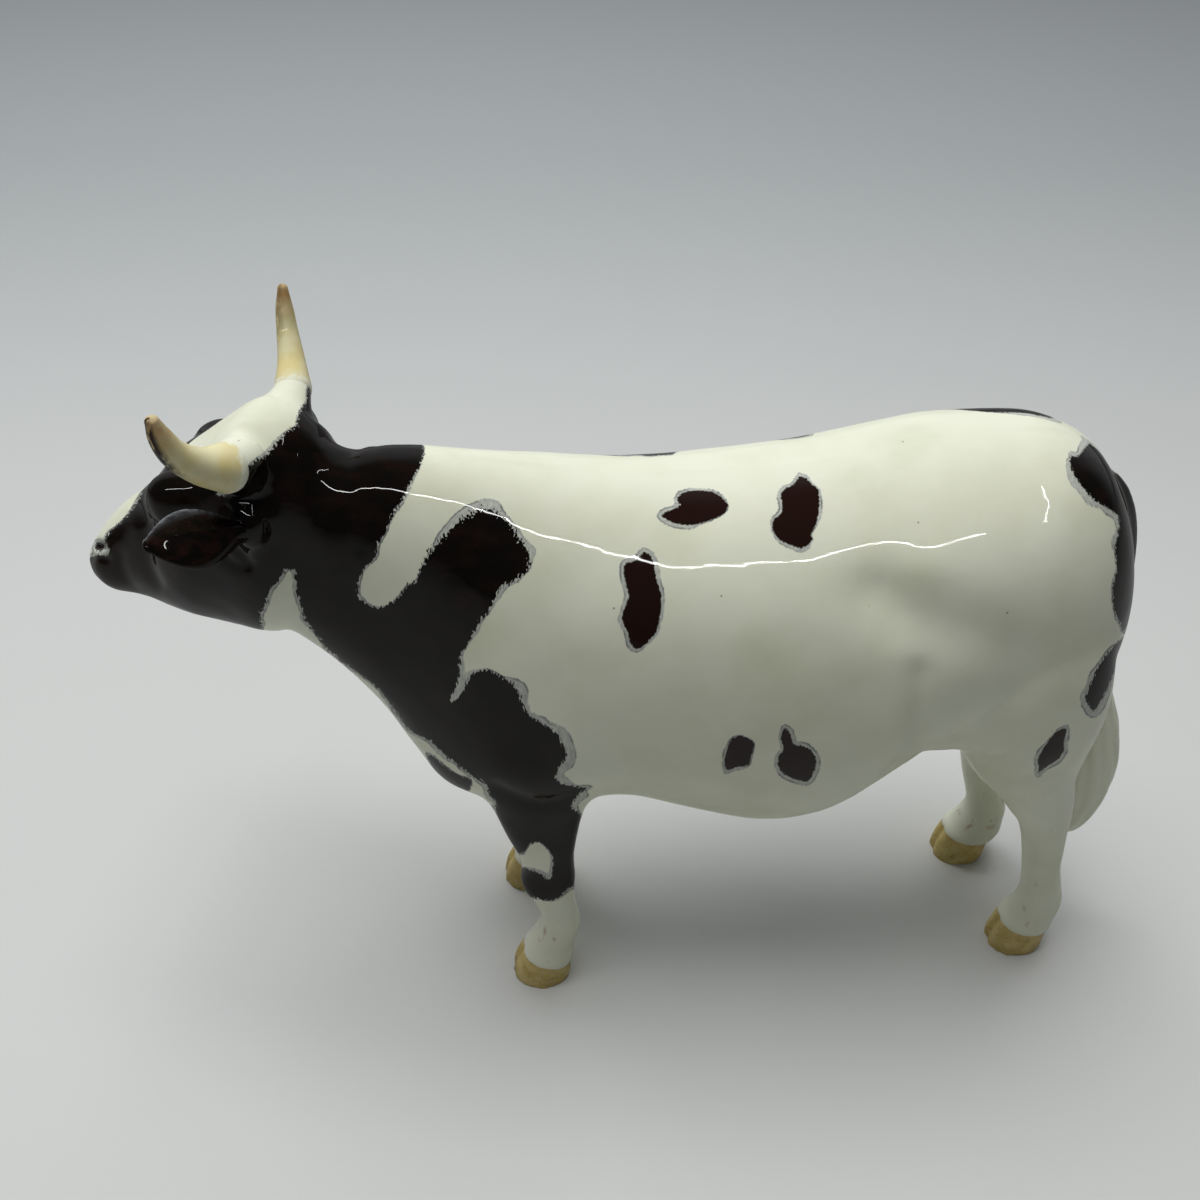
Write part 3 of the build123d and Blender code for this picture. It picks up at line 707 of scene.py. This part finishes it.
def shaped(points, quads):
    """The skin with its modelling: each bump or groove is a height times a bell of the
    distance from its middle or path, laid along the normals."""
    edges = edges_of(quads)
    trunk = (points[:, 2] > 44) * (points[:, 0] > head_x)
    smoothing = 0.5 * np.maximum(joint_share(points), 0.25 * trunk)
    points = spread(spread(points, edges, 0.5, 5), edges, smoothing, 45)
    normals = normals_of(points, quads)
    height = uneven_clay(points)
    x, y, z = points.T
    height -= touched(points, normals, body_touches) * (x > muzzle_x)
    part = tail_share(points)
    shift = np.zeros(len(points))
    for name, foot in soles.items():
        apart = np.clip(((y - plane_y) * math.copysign(1, foot[1] - plane_y) + 2) / 3, 0, 1)
        reach = np.exp(-((x - foot[0]) / 17) ** 6) * apart * (1 - part)
        shift += pastern_shift[name] * reach
        for ahead, level, width, amount in leg_lumps[name]:
            height += amount * np.exp(-(np.hypot(x - foot[0] - ahead, z - level) / width) ** 2) * reach
    points = points + normals * height[:, None]
    points[:, 0] += shift * np.exp(-((points[:, 2] - 17.0) / 7.5) ** 2)
    points, hoof = hooved(points, normals)
    points = standing(points)
    # Combed locks of the switch
    x, y, z = points.T
    turn = np.arctan2(y - plane_y, x - tail_at(z)[0])
    locks = np.sqrt(np.abs(np.sin(5.5 * turn + 0.9 * np.sin(z / 8.0) + z / 30)))
    lower = np.clip((74 - z) / 14, 0, 1)
    points = points + normals * (0.9 * (locks - 0.7) * lower * part)[:, None]
    # Creases, nostrils and mouth of the head
    normals = normals_of(points, quads)
    inward = touched(points, normals, head_touches) * (points[:, 0] < head_x)
    points = standing(spread(points - normals * inward[:, None], edges, 0.35, 1))
    return points, normals_of(points, quads), hoof, part


def painted(points, hoof):
    """How far each point lies from the edge of the dark paint, in millimetres, below zero
    inside it, how hairy that edge is, and how wide the wash beyond it."""
    pixels, scale = in_photo(fold_head(points))
    across, down = pixels.T
    x, y, z = points.T
    near_side = (y < plane_y) | (x < neck_x)
    dark, hair, halo = (np.full(len(points), start) for start in (FAR_OFF, 0.2, 0.4))

    def edge_of(outline):
        """Distance of each point from an outline, below zero inside it."""
        return outline_distance(pixels, smooth_rows(outline + outline[:1], 3)[:-1]) / scale

    def lay(distance, hairy, wide, where):
        """Adds a dark patch to what is there."""
        nonlocal dark, hair, halo
        distance = np.where(where, distance, FAR_OFF)
        hair, halo = np.where(distance < dark, hairy, hair), np.where(distance < dark, wide, halo)
        dark = np.minimum(dark, distance)

    brushed = np.exp(-(((pixels - hairy_place) / hairy_reach) ** 2).sum(1))
    behind = np.clip((across - wide_wash_from) / 40, 0, 1) * np.clip((wide_wash_to - down) / 20, 0, 1)
    lay(edge_of(front_dark), 0.4 + 0.6 * brushed, 0.35 + 0.80 * behind, near_side)
    lay(edge_of(brisket_dark), 0.3, 0.3, near_side)
    for outline in (spot_notched, spot_tall, spot_flank, spot_belly, spot_stemmed, thigh_dark):
        lay(edge_of(outline), 0.12, 0.5, near_side)
    wave = 1.2 * np.sin(z / 5.0) + 0.7 * np.sin(z / 2.3)
    behind_tail = y - plane_y - 5.0 + wave + 6.0 * np.clip((z - 106) / 12, 0, 1)
    lay(np.maximum(edge_of(rump_dark), behind_tail), 0.3, 0.9, y < plane_y + 9)
    lay(np.maximum(edge_of(rump_low_dark), y - plane_y + 3.5 + wave), 0.3, 0.8, y < plane_y)
    uneven = 1.5 * np.sin(0.50 * x + 0.35 * z) * np.sin(0.42 * z - 0.28 * x + 1.0)
    uneven += 0.7 * np.sin(1.15 * x - 0.4 * z) * np.sin(0.95 * z + 0.5 * x)
    uneven *= np.clip((down - far_waver_from) / 30, 0, 1)
    for outline in far_dark.values():
        lay(edge_of(outline) + np.maximum(uneven, 0), 0.3, 0.7, y > plane_y)
    muzzle = 0.22 + 0.18 * np.clip((clean_blaze_from - down) / 6, 0, 1)
    for outline, hairy in ((poll_white, 0.6), (throat_white, 0.5), (knee_white, 0.3), (blaze_white, muzzle)):
        distance = -edge_of(outline)
        hair, halo = np.where(distance > dark, hairy, hair), np.where(distance > dark, 0.4, halo)
        dark = np.maximum(dark, distance)
    nostril = np.linalg.norm(pixels - nostril_place, axis=1) / scale - 0.78
    dark = np.where(x < muzzle_x, np.minimum(dark, nostril), dark)
    return np.where(hoof > -1.5, np.maximum(dark, 1.0), dark), hair, halo


def blushed(points):
    """Pink on the udder."""
    x, y, z = points.T
    bag = np.hypot((x - mid_x - udder_middle) / 11, (y - plane_y) / 9)
    under = (z < udder_floor + 6) & (z > udder_floor - 5)
    return np.clip((1.15 - bag) / 0.3, 0, 1) * under * 0.8


def piece_labels(points, quads, chain, part):
    """Which named piece each quad belongs to."""
    middle = points[quads].mean(1)
    x, y, z = middle.T
    labels = np.full(len(quads), "body_shell", dtype=object)
    seam = chain[len(head_shares)]
    normal = np.cross(seam[3:6], seam[6:9])
    normal = normal / np.linalg.norm(normal) * (1 if normal[0] < 0 else -1)
    beyond = middle - seam[:3]
    near = (np.linalg.norm(beyond, axis=1) < 75) & (x < seam[0] + 30)
    labels[(beyond @ normal > 0) & near] = "head"
    for name, foot in soles.items():
        limb = name.split("_")[0]
        aft, reach = limb_windows[limb]
        near = (np.abs(x - foot[0] - aft) < reach) & ((y - plane_y) * (foot[1] - plane_y) > 0)
        labels[near & (z < limbs[limb][1])] = name + "_leg"
    bag = np.hypot((x - mid_x - udder_middle) / 9.6, (y - plane_y) / 7.5)
    labels[(bag < 1) & (z < udder_floor + 5.4) & (z > udder_floor - 4)] = "udder"
    labels[part[quads].mean(1) > 0.5] = "tail"
    return labels


def closed_part(name, points, quads, labels, fields, normals):
    """The quads of one piece, closed at each cut by a fan to the middle of the cut."""
    own = labels == name
    half = half_edges(quads)
    owner = np.tile(np.arange(len(quads)), 4)
    key = half.min(1) * len(points) + half.max(1)
    order = np.argsort(key, kind="stable")
    first, second = order[:-1], order[1:]
    cut = (key[first] == key[second]) & (own[owner[first]] != own[owner[second]])
    first, second = first[cut], second[cut]
    mine = np.where(own[owner[first]], first, second)
    neighbour = labels[owner[first + second - mine]]
    used, inverse = np.unique(quads[own].ravel(), return_inverse=True)
    faces = inverse.reshape(-1, 4).tolist()
    index_of = np.full(len(points), -1)
    index_of[used] = np.arange(len(used))
    hubs = []
    for across in sorted(set(neighbour)):
        rim = half[mine[neighbour == across]]
        hub = np.full(len(rim), len(used) + len(hubs))
        faces += np.column_stack([index_of[rim[:, 1]], index_of[rim[:, 0]], hub]).tolist()
        hubs.append(points[rim.ravel()].mean(0))
    made = mesh_object(name, np.vstack([points[used], *hubs]), faces,
                       np.vstack([normals[used]] + [(0.0, 0.0, 1.0)] * len(hubs)))
    for field, values in fields.items():
        add_attribute(made, field, np.append(values[used], np.zeros(len(hubs))))
    return made


def tinted(colour, *shares):
    """A colour with its red, green and blue times their shares, or all three times one."""
    return tuple(value * share for value, share in zip(colour, shares if len(shares) > 1 else shares * 3))


class Nodes:
    """The node tree of a material or world, with a short way to add each kind of linked node."""

    def __init__(self, owner):
        owner.use_nodes = True
        self.tree = owner.node_tree

    def add(self, kind, settings=None, **inputs):
        """A node, its inputs given by name or as i and their number, as values or as links."""
        node = self.tree.nodes.new(kind)
        for key, value in (settings or {}).items():
            setattr(node, key, value)
        for key, value in inputs.items():
            socket = node.inputs[int(key[1:]) if key[1:].isdigit() else key]
            if isinstance(value, bpy.types.NodeSocket):
                self.tree.links.new(value, socket)
            else:
                socket.default_value = value
        return node

    def shader(self):
        """A lone shader and its output, and the object's own coordinates."""
        self.tree.nodes.clear()
        shader = self.add("ShaderNodeBsdfPrincipled")
        self.add("ShaderNodeOutputMaterial", None, Surface=shader.outputs["BSDF"])
        self.place = self.add("ShaderNodeTexCoord").outputs["Object"]
        return shader

    def attribute(self, name):
        """The number that each point carries under this name."""
        return self.add("ShaderNodeAttribute", {"attribute_name": name}).outputs["Fac"]

    def arithmetic(self, operation, first, second, third=0.0):
        """One operation on two or three values."""
        return self.add("ShaderNodeMath", {"operation": operation}, i0=first, i1=second, i2=third).outputs[0]

    def times(self, first, second):
        """The product of two values."""
        return self.arithmetic("MULTIPLY", first, second)

    def ramp(self, value, low, high, out_low=0.0, out_high=1.0):
        """Value taken smoothly from low to high onto out_low to out_high."""
        return self.add("ShaderNodeMapRange", {"interpolation_type": "SMOOTHSTEP"},
                        i0=value, i1=low, i2=high, i3=out_low, i4=out_high).outputs[0]

    def noise(self, scale, detail=2.0, stretch=None):
        """Clouds of the given number per metre, stretched if asked."""
        place = self.place
        if stretch:
            place = self.add("ShaderNodeMapping", None, Vector=place, Scale=stretch).outputs[0]
        return self.add("ShaderNodeTexNoise", None, Vector=place, Scale=scale, Detail=detail).outputs[0]

    def blend(self, share, first, second):
        """The first colour, going over to the second as share goes to 1."""
        first, second = (colour if isinstance(colour, bpy.types.NodeSocket) else (*colour, 1.0)
                         for colour in (first, second))
        return self.add("ShaderNodeMix", {"data_type": "RGBA"}, i0=share, i6=first, i7=second).outputs[2]

    def link(self, value, node, *sockets):
        """One value linked to the named inputs of a node."""
        for socket in sockets:
            self.tree.links.new(value, node.inputs[socket])

    def bump(self, scale, strength, distance):
        """Normals of soft waves."""
        return self.add("ShaderNodeBump", None, Strength=strength, Distance=distance,
                        Height=self.noise(scale)).outputs[0]


def glazed(name, paint):
    """The material of this name, made once: paint adds its nodes under a clear gloss glaze."""
    found = bpy.data.materials.get(name)
    if found:
        return found
    material = bpy.data.materials.new(name)
    nodes = Nodes(material)
    shader = nodes.shader()
    for socket, value in (("Roughness", 0.5), ("Specular IOR Level", 0.0), ("Coat Weight", 0.38),
                          ("Coat Roughness", 0.035), ("Coat IOR", 1.5)):
        shader.inputs[socket].default_value = value
    nodes.link(paint(nodes, shader, bpy.context.scene.cow_colours), shader, "Base Color")
    return material


def body_paint(nodes, shader, colours):
    """Cream body with brushed dark patches, grey wash and tan hooves."""
    noise, ramp, blend = nodes.noise, nodes.ramp, nodes.blend
    arithmetic, times = nodes.arithmetic, nodes.times
    dark, hair, hoof = (nodes.attribute(name) for name in ("dark", "hair", "hoof"))
    # Cream with soft clouds and a few pinholes
    body = blend(ramp(noise(55, 4), 0.40, 0.75), colours.cream, tinted(colours.cream, 0.90, 0.90, 0.84))
    cells = nodes.add("ShaderNodeTexVoronoi", None, Vector=nodes.place, Scale=170.0)
    speck = times(ramp(cells.outputs["Distance"], 0.040, 0.020), ramp(cells.outputs["Color"], 0.30, 0.31))
    body = blend(times(speck, 0.75), body, colours.stain)
    # Grey wash round the patches, wide here and narrow there, with a darker outer line
    reach = times(ramp(noise(90), 0.34, 0.62, 0.25, 1.5), nodes.attribute("halo"))
    streak = noise(2300, 3, (1.0, 1.0, 0.3))
    outer = arithmetic("MULTIPLY_ADD", streak, 0.45, arithmetic("SUBTRACT", dark, reach))
    wash = ramp(outer, 0.36, 0.12)
    body = blend(times(wash, ramp(streak, 0.3, 0.7, 0.72, 0.40)), body, colours.wash)
    line = times(ramp(outer, -0.12, 0.10), wash)
    line = times(line, ramp(noise(260, 3), 0.42, 0.62, 0.05, 0.75))
    body = blend(line, body, tinted(colours.wash, 0.35))
    # Dark patch with its brush hairs, and brown where the paint is thin
    ragged = arithmetic("SUBTRACT", noise(3000, 3, (1.0, 1.0, 0.30)), 0.5)
    edge = arithmetic("MULTIPLY_ADD", ragged, arithmetic("MULTIPLY_ADD", hair, 4.0, 0.25), dark)
    cover = ramp(edge, 0.16, -0.06)
    strokes = ramp(noise(420, 3, (0.5, 1.0, 1.0)), 0.40, 0.75, 0.0, 0.45)
    thin = arithmetic("MAXIMUM", strokes, ramp(hair, 0.3, 0.14, 0.0, 0.8))
    body = blend(cover, body, blend(thin, colours.dark, colours.brown))
    # Tan hoof wall with stained cracks
    crack = nodes.add("ShaderNodeTexVoronoi", {"feature": "DISTANCE_TO_EDGE"},
                      Vector=nodes.place, Scale=420.0)
    patchy = noise(330, 5)
    wall = blend(ramp(patchy, 0.35, 0.70), colours.hoof, tinted(colours.hoof, 1.25, 1.3, 1.7))
    line = times(ramp(crack.outputs["Distance"], 0.035, 0.0), ramp(patchy, 0.45, 0.6, 0.45, 0.05))
    wall = blend(line, wall, colours.stain)
    body = blend(ramp(arithmetic("MULTIPLY_ADD", noise(900), 0.5, hoof), 0.12, 0.38), body, wall)
    # Brown that has run into the glaze over the hooves, and pink of the udder
    low = times(ramp(hoof, -24.0, -9.0), ramp(hoof, -1.0, -4.0))
    runs = times(low, ramp(noise(330, 5, (1.2, 1.2, 0.6)), 0.56, 0.72))
    runs = times(runs, arithmetic("SUBTRACT", 0.55, cover))
    body = blend(ramp(runs, 0.0, 0.55, 0.0, 0.55), body, colours.run)
    nodes.link(nodes.bump(190, 0.35, 0.00025), shader, "Coat Normal", "Normal")
    return blend(nodes.attribute("blush"), body, colours.blush)


def horn_paint(nodes, shader, colours):
    """Cream yellow with brown strokes on the front, browner towards the tip."""
    noise, ramp, blend = nodes.noise, nodes.ramp, nodes.blend
    arithmetic, times = nodes.arithmetic, nodes.times
    along = nodes.attribute("along")
    clouds = noise(260, 4)
    body = blend(ramp(clouds, 0.35, 0.7), colours.horn, tinted(colours.horn, 0.94, 0.87, 0.68))
    feather = arithmetic("MULTIPLY_ADD", noise(1100, 3), 0.20, along)
    body = blend(ramp(feather, 0.09, 0.15), colours.cream, body)
    tan = times(ramp(along, 0.5, 1.0), ramp(clouds, 0.3, 0.6, 0.35, 0.8))
    body = blend(tan, body, tinted(colours.stain, 2.35, 2.4, 1.9))
    nodes.link(nodes.bump(420, 0.3, 0.0002), shader, "Coat Normal")
    strokes = ramp(noise(1300, 4, (1.0, 1.0, 0.4)), 0.30, 0.52)
    return blend(times(strokes, nodes.attribute("front")), body, colours.brown)


def ear_paint(nodes, shader, colours):
    """Dark paint, with a pale grey line along one rim."""
    strokes = nodes.ramp(nodes.noise(700, 4, (0.4, 1.0, 1.0)), 0.4, 0.75)
    body = nodes.blend(strokes, colours.dark, colours.brown)
    # Pale grey line along one rim of the ear, broken by noise
    rim_grey = nodes.times(nodes.attribute("rim"), nodes.ramp(nodes.noise(900), 0.35, 0.6, 0.2, 0.8))
    return nodes.blend(rim_grey, body, colours.wash)


def finish_piece(made, node, material):
    """Gives a piece its material, puts it on the part's one body in its node's place and hides that node."""
    made.data.materials.append(material)
    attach(made, "root")
    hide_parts(node)


# The skin of the castings, once it is worked out
casting = {}


def cast_pieces(*names):
    """Named pieces of the cast skin."""
    for name in names:
        finish_piece(closed_part(name, **casting), name, glazed("brushed_body", body_paint))
    return {"FINISHED"}


def own_piece(name, grid, material, **fields):
    """A piece made of its own rings, with a number for each ring point, then for both ends."""
    points, faces = tube(grid)
    a, b, c = (points[[face[k] for face in faces]] for k in range(3))
    if np.einsum("ij,ij->i", a, np.cross(b, c)).sum() <= 0:
        faces = [face[::-1] for face in faces]
    made = mesh_object(name, points, faces)
    for field, (values, ends) in fields.items():
        add_attribute(made, field, np.append(values, ends))
    finish_piece(made, name, material)


class COW_OT_casting(bpy.types.Operator):
    """Work out the one skin of trunk, head, legs, tail and udder, and its paint"""

    bl_idname = "cow.casting"
    bl_label = "Skin of the castings"

    def execute(self, context):
        form = context.scene.cow_form
        chain = chain_rows(form)
        points, quads = united(form_surfaces(form, chain), form.grain)
        points, normals, hoof, part = shaped(points, quads)
        dark, hair, halo = painted(points, hoof)
        fields = {"dark": dark, "hair": hair, "halo": halo, "hoof": hoof, "blush": blushed(points)}
        labels = piece_labels(points, quads, chain, part)
        casting.update(points=points, quads=quads, labels=labels, fields=fields, normals=normals)
        return {"FINISHED"}


class COW_OT_trunk(bpy.types.Operator):
    """Make the trunk and the head"""

    bl_idname = "cow.trunk"
    bl_label = "Trunk and head"

    def execute(self, context):
        return cast_pieces("body_shell", "head")


class COW_OT_legs(bpy.types.Operator):
    """Make the four legs"""

    bl_idname = "cow.legs"
    bl_label = "Legs"

    def execute(self, context):
        return cast_pieces(*(name + "_leg" for name in soles))


class COW_OT_tail(bpy.types.Operator):
    """Make the tail and the udder"""

    bl_idname = "cow.tail"
    bl_label = "Tail and udder"

    def execute(self, context):
        return cast_pieces("tail", "udder")


class COW_OT_horns(bpy.types.Operator):
    """Make the two horns"""

    bl_idname = "cow.horns"
    bl_label = "Horns"

    def execute(self, context):
        count, root_rings, tip_rings = 48, 4, 8
        brushed_from = np.array([-0.63, -0.75, -0.20])
        form = context.scene.cow_form
        for name, side, girth, root, stroke in (("left_horn", -1, 1.0, 0.96, 1.0),
                                                ("right_horn", 1, 0.82, 0.91, 0.4)):
            radii = np.array(horn_radius_shares) * form.horn_radius / MM * girth
            rows = swept(on_head(horn_path, side)[1:], radii[1:] * (root, 1, 1, 1, 1), 12)
            rows = domed(domed(rows, 0.8, tip_rings)[::-1], 3.0, root_rings)[::-1]
            grid = ring_grid(rows, count, 1.0)
            step = np.clip((np.arange(len(rows)) - root_rings) / (len(rows) - root_rings - tip_rings), 0, 1)
            arm = grid - rows[:, None, :3]
            arm = arm / np.maximum(np.linalg.norm(arm, axis=2, keepdims=True), 1e-9)
            front = np.clip(arm @ brushed_from * 3.2 - 1.8, 0, 1) * stroke
            front = front * np.clip((step - 0.30) / 0.2, 0, 1)[:, None]
            own_piece(name, grid, glazed("brushed_horn", horn_paint),
                      along=(np.repeat(step, count), (0.0, 1.0)), front=(front.ravel(), (0.0, 0.0)))
        return {"FINISHED"}


class COW_OT_ears(bpy.types.Operator):
    """Make the two ears"""

    bl_idname = "cow.ears"
    bl_label = "Ears"

    def execute(self, context):
        count = 40
        form = context.scene.cow_form
        for name, side in (("left_ear", -1), ("right_ear", 1)):
            root, axis, back = (on_head(place, side) for place in (ear_root, ear_axis, ear_back))
            axis, back = axis - on_head((0, 0, 0), side), back - on_head((0, 0, 0), side)
            axis = axis / np.linalg.norm(axis)
            back = back - axis * (back @ axis)
            back = back / np.linalg.norm(back)
            place, width, behind, before = smooth_rows(ear_shares, 6).T[:, :, None]
            blade = width * np.cross(axis, back) * form.ear_width / MM / 2
            thick = back * form.ear_thickness / MM
            middle = root + place * axis * form.ear_length / MM
            rows = np.hstack([middle, blade, behind * thick, before * thick])
            grid = ring_grid(domed(rows, 0.7), count, 1.2)
            cosine = np.cos(2 * np.pi * (np.arange(count) + 0.5) / count)
            rim = np.abs(cosine) ** 12 * (np.sign(cosine) == -side)
            own_piece(name, grid, glazed("brushed_ear", ear_paint),
                      rim=(np.tile(rim, len(grid)), (0.0, 0.0)))
        return {"FINISHED"}


class COW_OT_stage(bpy.types.Operator):
    """Set the floor, the lamps and the camera"""

    bl_idname = "cow.stage"
    bl_label = "Stage"

    def execute(self, context):
        stage = context.scene.cow_stage
        corners = 2500.0 * np.array([(-1, -1, 0), (1, -1, 0), (1, 1, 0), (-1, 1, 0)])
        floor = mesh_object("floor", corners, [[0, 1, 2, 3]])
        floor.data.materials.append(floor_material(stage.floor_colour))
        context.scene.world = studio_world(stage.sky_strength)
        key = add_lamp("key", (-0.15, 0.05, 1.0), (0.01, 0.0, 0.06), (0.62, 0.62), stage.key_power)
        key.visible_glossy = False
        strip = add_lamp("strip", (-0.24, -0.55, 0.725), (-0.24, -0.02, 0.10), (1.0, 0.016),
                         stage.strip_power)
        side = add_lamp("side_strip", (0.4465, -0.2545, 0.7645), (0.02, -0.02, 0.10), (0.010, 0.384),
                        stage.strip_power * 0.18, -0.77)
        strip.visible_diffuse = side.visible_diffuse = False
        data = bpy.data.cameras.new("camera")
        data.lens = stage.lens
        data.sensor_width = SENSOR_WIDTH
        data.clip_start = 0.01
        camera = bpy.data.objects.new("camera", data)
        camera.location = stage.camera_place
        camera.rotation_euler = stage.camera_turn
        context.collection.objects.link(camera)
        context.scene.camera = camera
        context.scene.view_settings.view_transform = "Standard"
        return {"FINISHED"}


def floor_material(pale):
    """Pale floor that darkens away from the lens."""
    material = bpy.data.materials.new("pale_floor")
    nodes = Nodes(material)
    shader = nodes.shader()
    shader.inputs["Roughness"].default_value = 0.8
    colour = nodes.blend(nodes.noise(9), pale, tinted(pale, 0.96))
    away = nodes.add("ShaderNodeSeparateXYZ", None, i0=nodes.place).outputs["Y"]
    colour = nodes.blend(nodes.ramp(away, 0.05, 0.50), colour, tinted(pale, 0.74, 0.77, 0.80))
    # It looks pale to the lens, but throws a little less light up on the cow
    rays = nodes.add("ShaderNodeLightPath").outputs
    seen = nodes.arithmetic("MULTIPLY_ADD", rays["Is Glossy Ray"], 0.15, rays["Is Camera Ray"])
    nodes.link(nodes.blend(seen, tinted(pale, 0.9), colour), shader, "Base Color")
    return material


def studio_world(strength):
    """Soft light, bright beyond the cow and dim on the camera's side; the lens sees an even grey."""
    world = bpy.data.worlds.new("studio")
    nodes = Nodes(world)
    background = nodes.tree.nodes["Background"]
    place = nodes.add("ShaderNodeTexCoord").outputs["Generated"]
    away = nodes.add("ShaderNodeSeparateXYZ", None, i0=place).outputs["Y"]
    light = nodes.times(nodes.ramp(away, 0.15, 0.65, 0.08, 1.0), strength)
    seen = nodes.add("ShaderNodeLightPath").outputs["Is Camera Ray"]
    nodes.link(nodes.ramp(seen, 0.0, 1.0, light, 0.55), background, "Strength")
    background.inputs["Color"].default_value = (0.94, 0.97, 1.0, 1.0)
    return world


def add_lamp(name, place, target, size, power, roll=0.0):
    """A flat lamp at a place, facing a target and turned in its own plane by roll."""
    data = bpy.data.lights.new(name, "AREA")
    data.shape = "RECTANGLE"
    data.size, data.size_y = size
    data.energy = power
    lamp = bpy.data.objects.new(name, data)
    lamp.location = place
    way = Vector(target) - Vector(place)
    lamp.rotation_euler = (way.to_track_quat("-Z", "Y") @ Quaternion((0, 0, 1), roll)).to_euler()
    bpy.context.collection.objects.link(lamp)
    return lamp


class COW_PT_panel(bpy.types.Panel):
    """The cow's steps and values"""

    bl_idname = "COW_PT_panel"
    bl_label = "Cow"
    bl_space_type = "VIEW_3D"
    bl_region_type = "UI"
    bl_category = "Cow"

    def draw(self, context):
        for step in steps:
            self.layout.operator(step.bl_idname)
        for group in groups:
            values = getattr(context.scene, group)
            box = self.layout.box()
            for name in values.bl_rna.properties.keys():
                if name not in ("rna_type", "name"):
                    box.prop(values, name)


steps = (COW_OT_casting, COW_OT_trunk, COW_OT_legs, COW_OT_tail, COW_OT_horns, COW_OT_ears, COW_OT_stage)
groups = {"cow_form": CowForm, "cow_colours": CowColours, "cow_stage": CowStage}


def register():
    """Registers the value groups, the steps and the panel."""
    for name, group in groups.items():
        bpy.utils.register_class(group)
        setattr(bpy.types.Scene, name, bpy.props.PointerProperty(type=group))
    for step in steps + (COW_PT_panel,):
        bpy.utils.register_class(step)


def unregister():
    """Takes them all away again."""
    for step in (COW_PT_panel,) + steps[::-1]:
        bpy.utils.unregister_class(step)
    for name, group in groups.items():
        delattr(bpy.types.Scene, name)
        bpy.utils.unregister_class(group)


def main():
    """Makes the cow and its stage."""
    register()
    bpy.ops.cow.casting()
    bpy.ops.cow.trunk()
    bpy.ops.cow.legs()
    bpy.ops.cow.tail()
    bpy.ops.cow.horns()
    bpy.ops.cow.ears()
    bpy.ops.cow.stage()


if __name__ == "__main__":
    main()
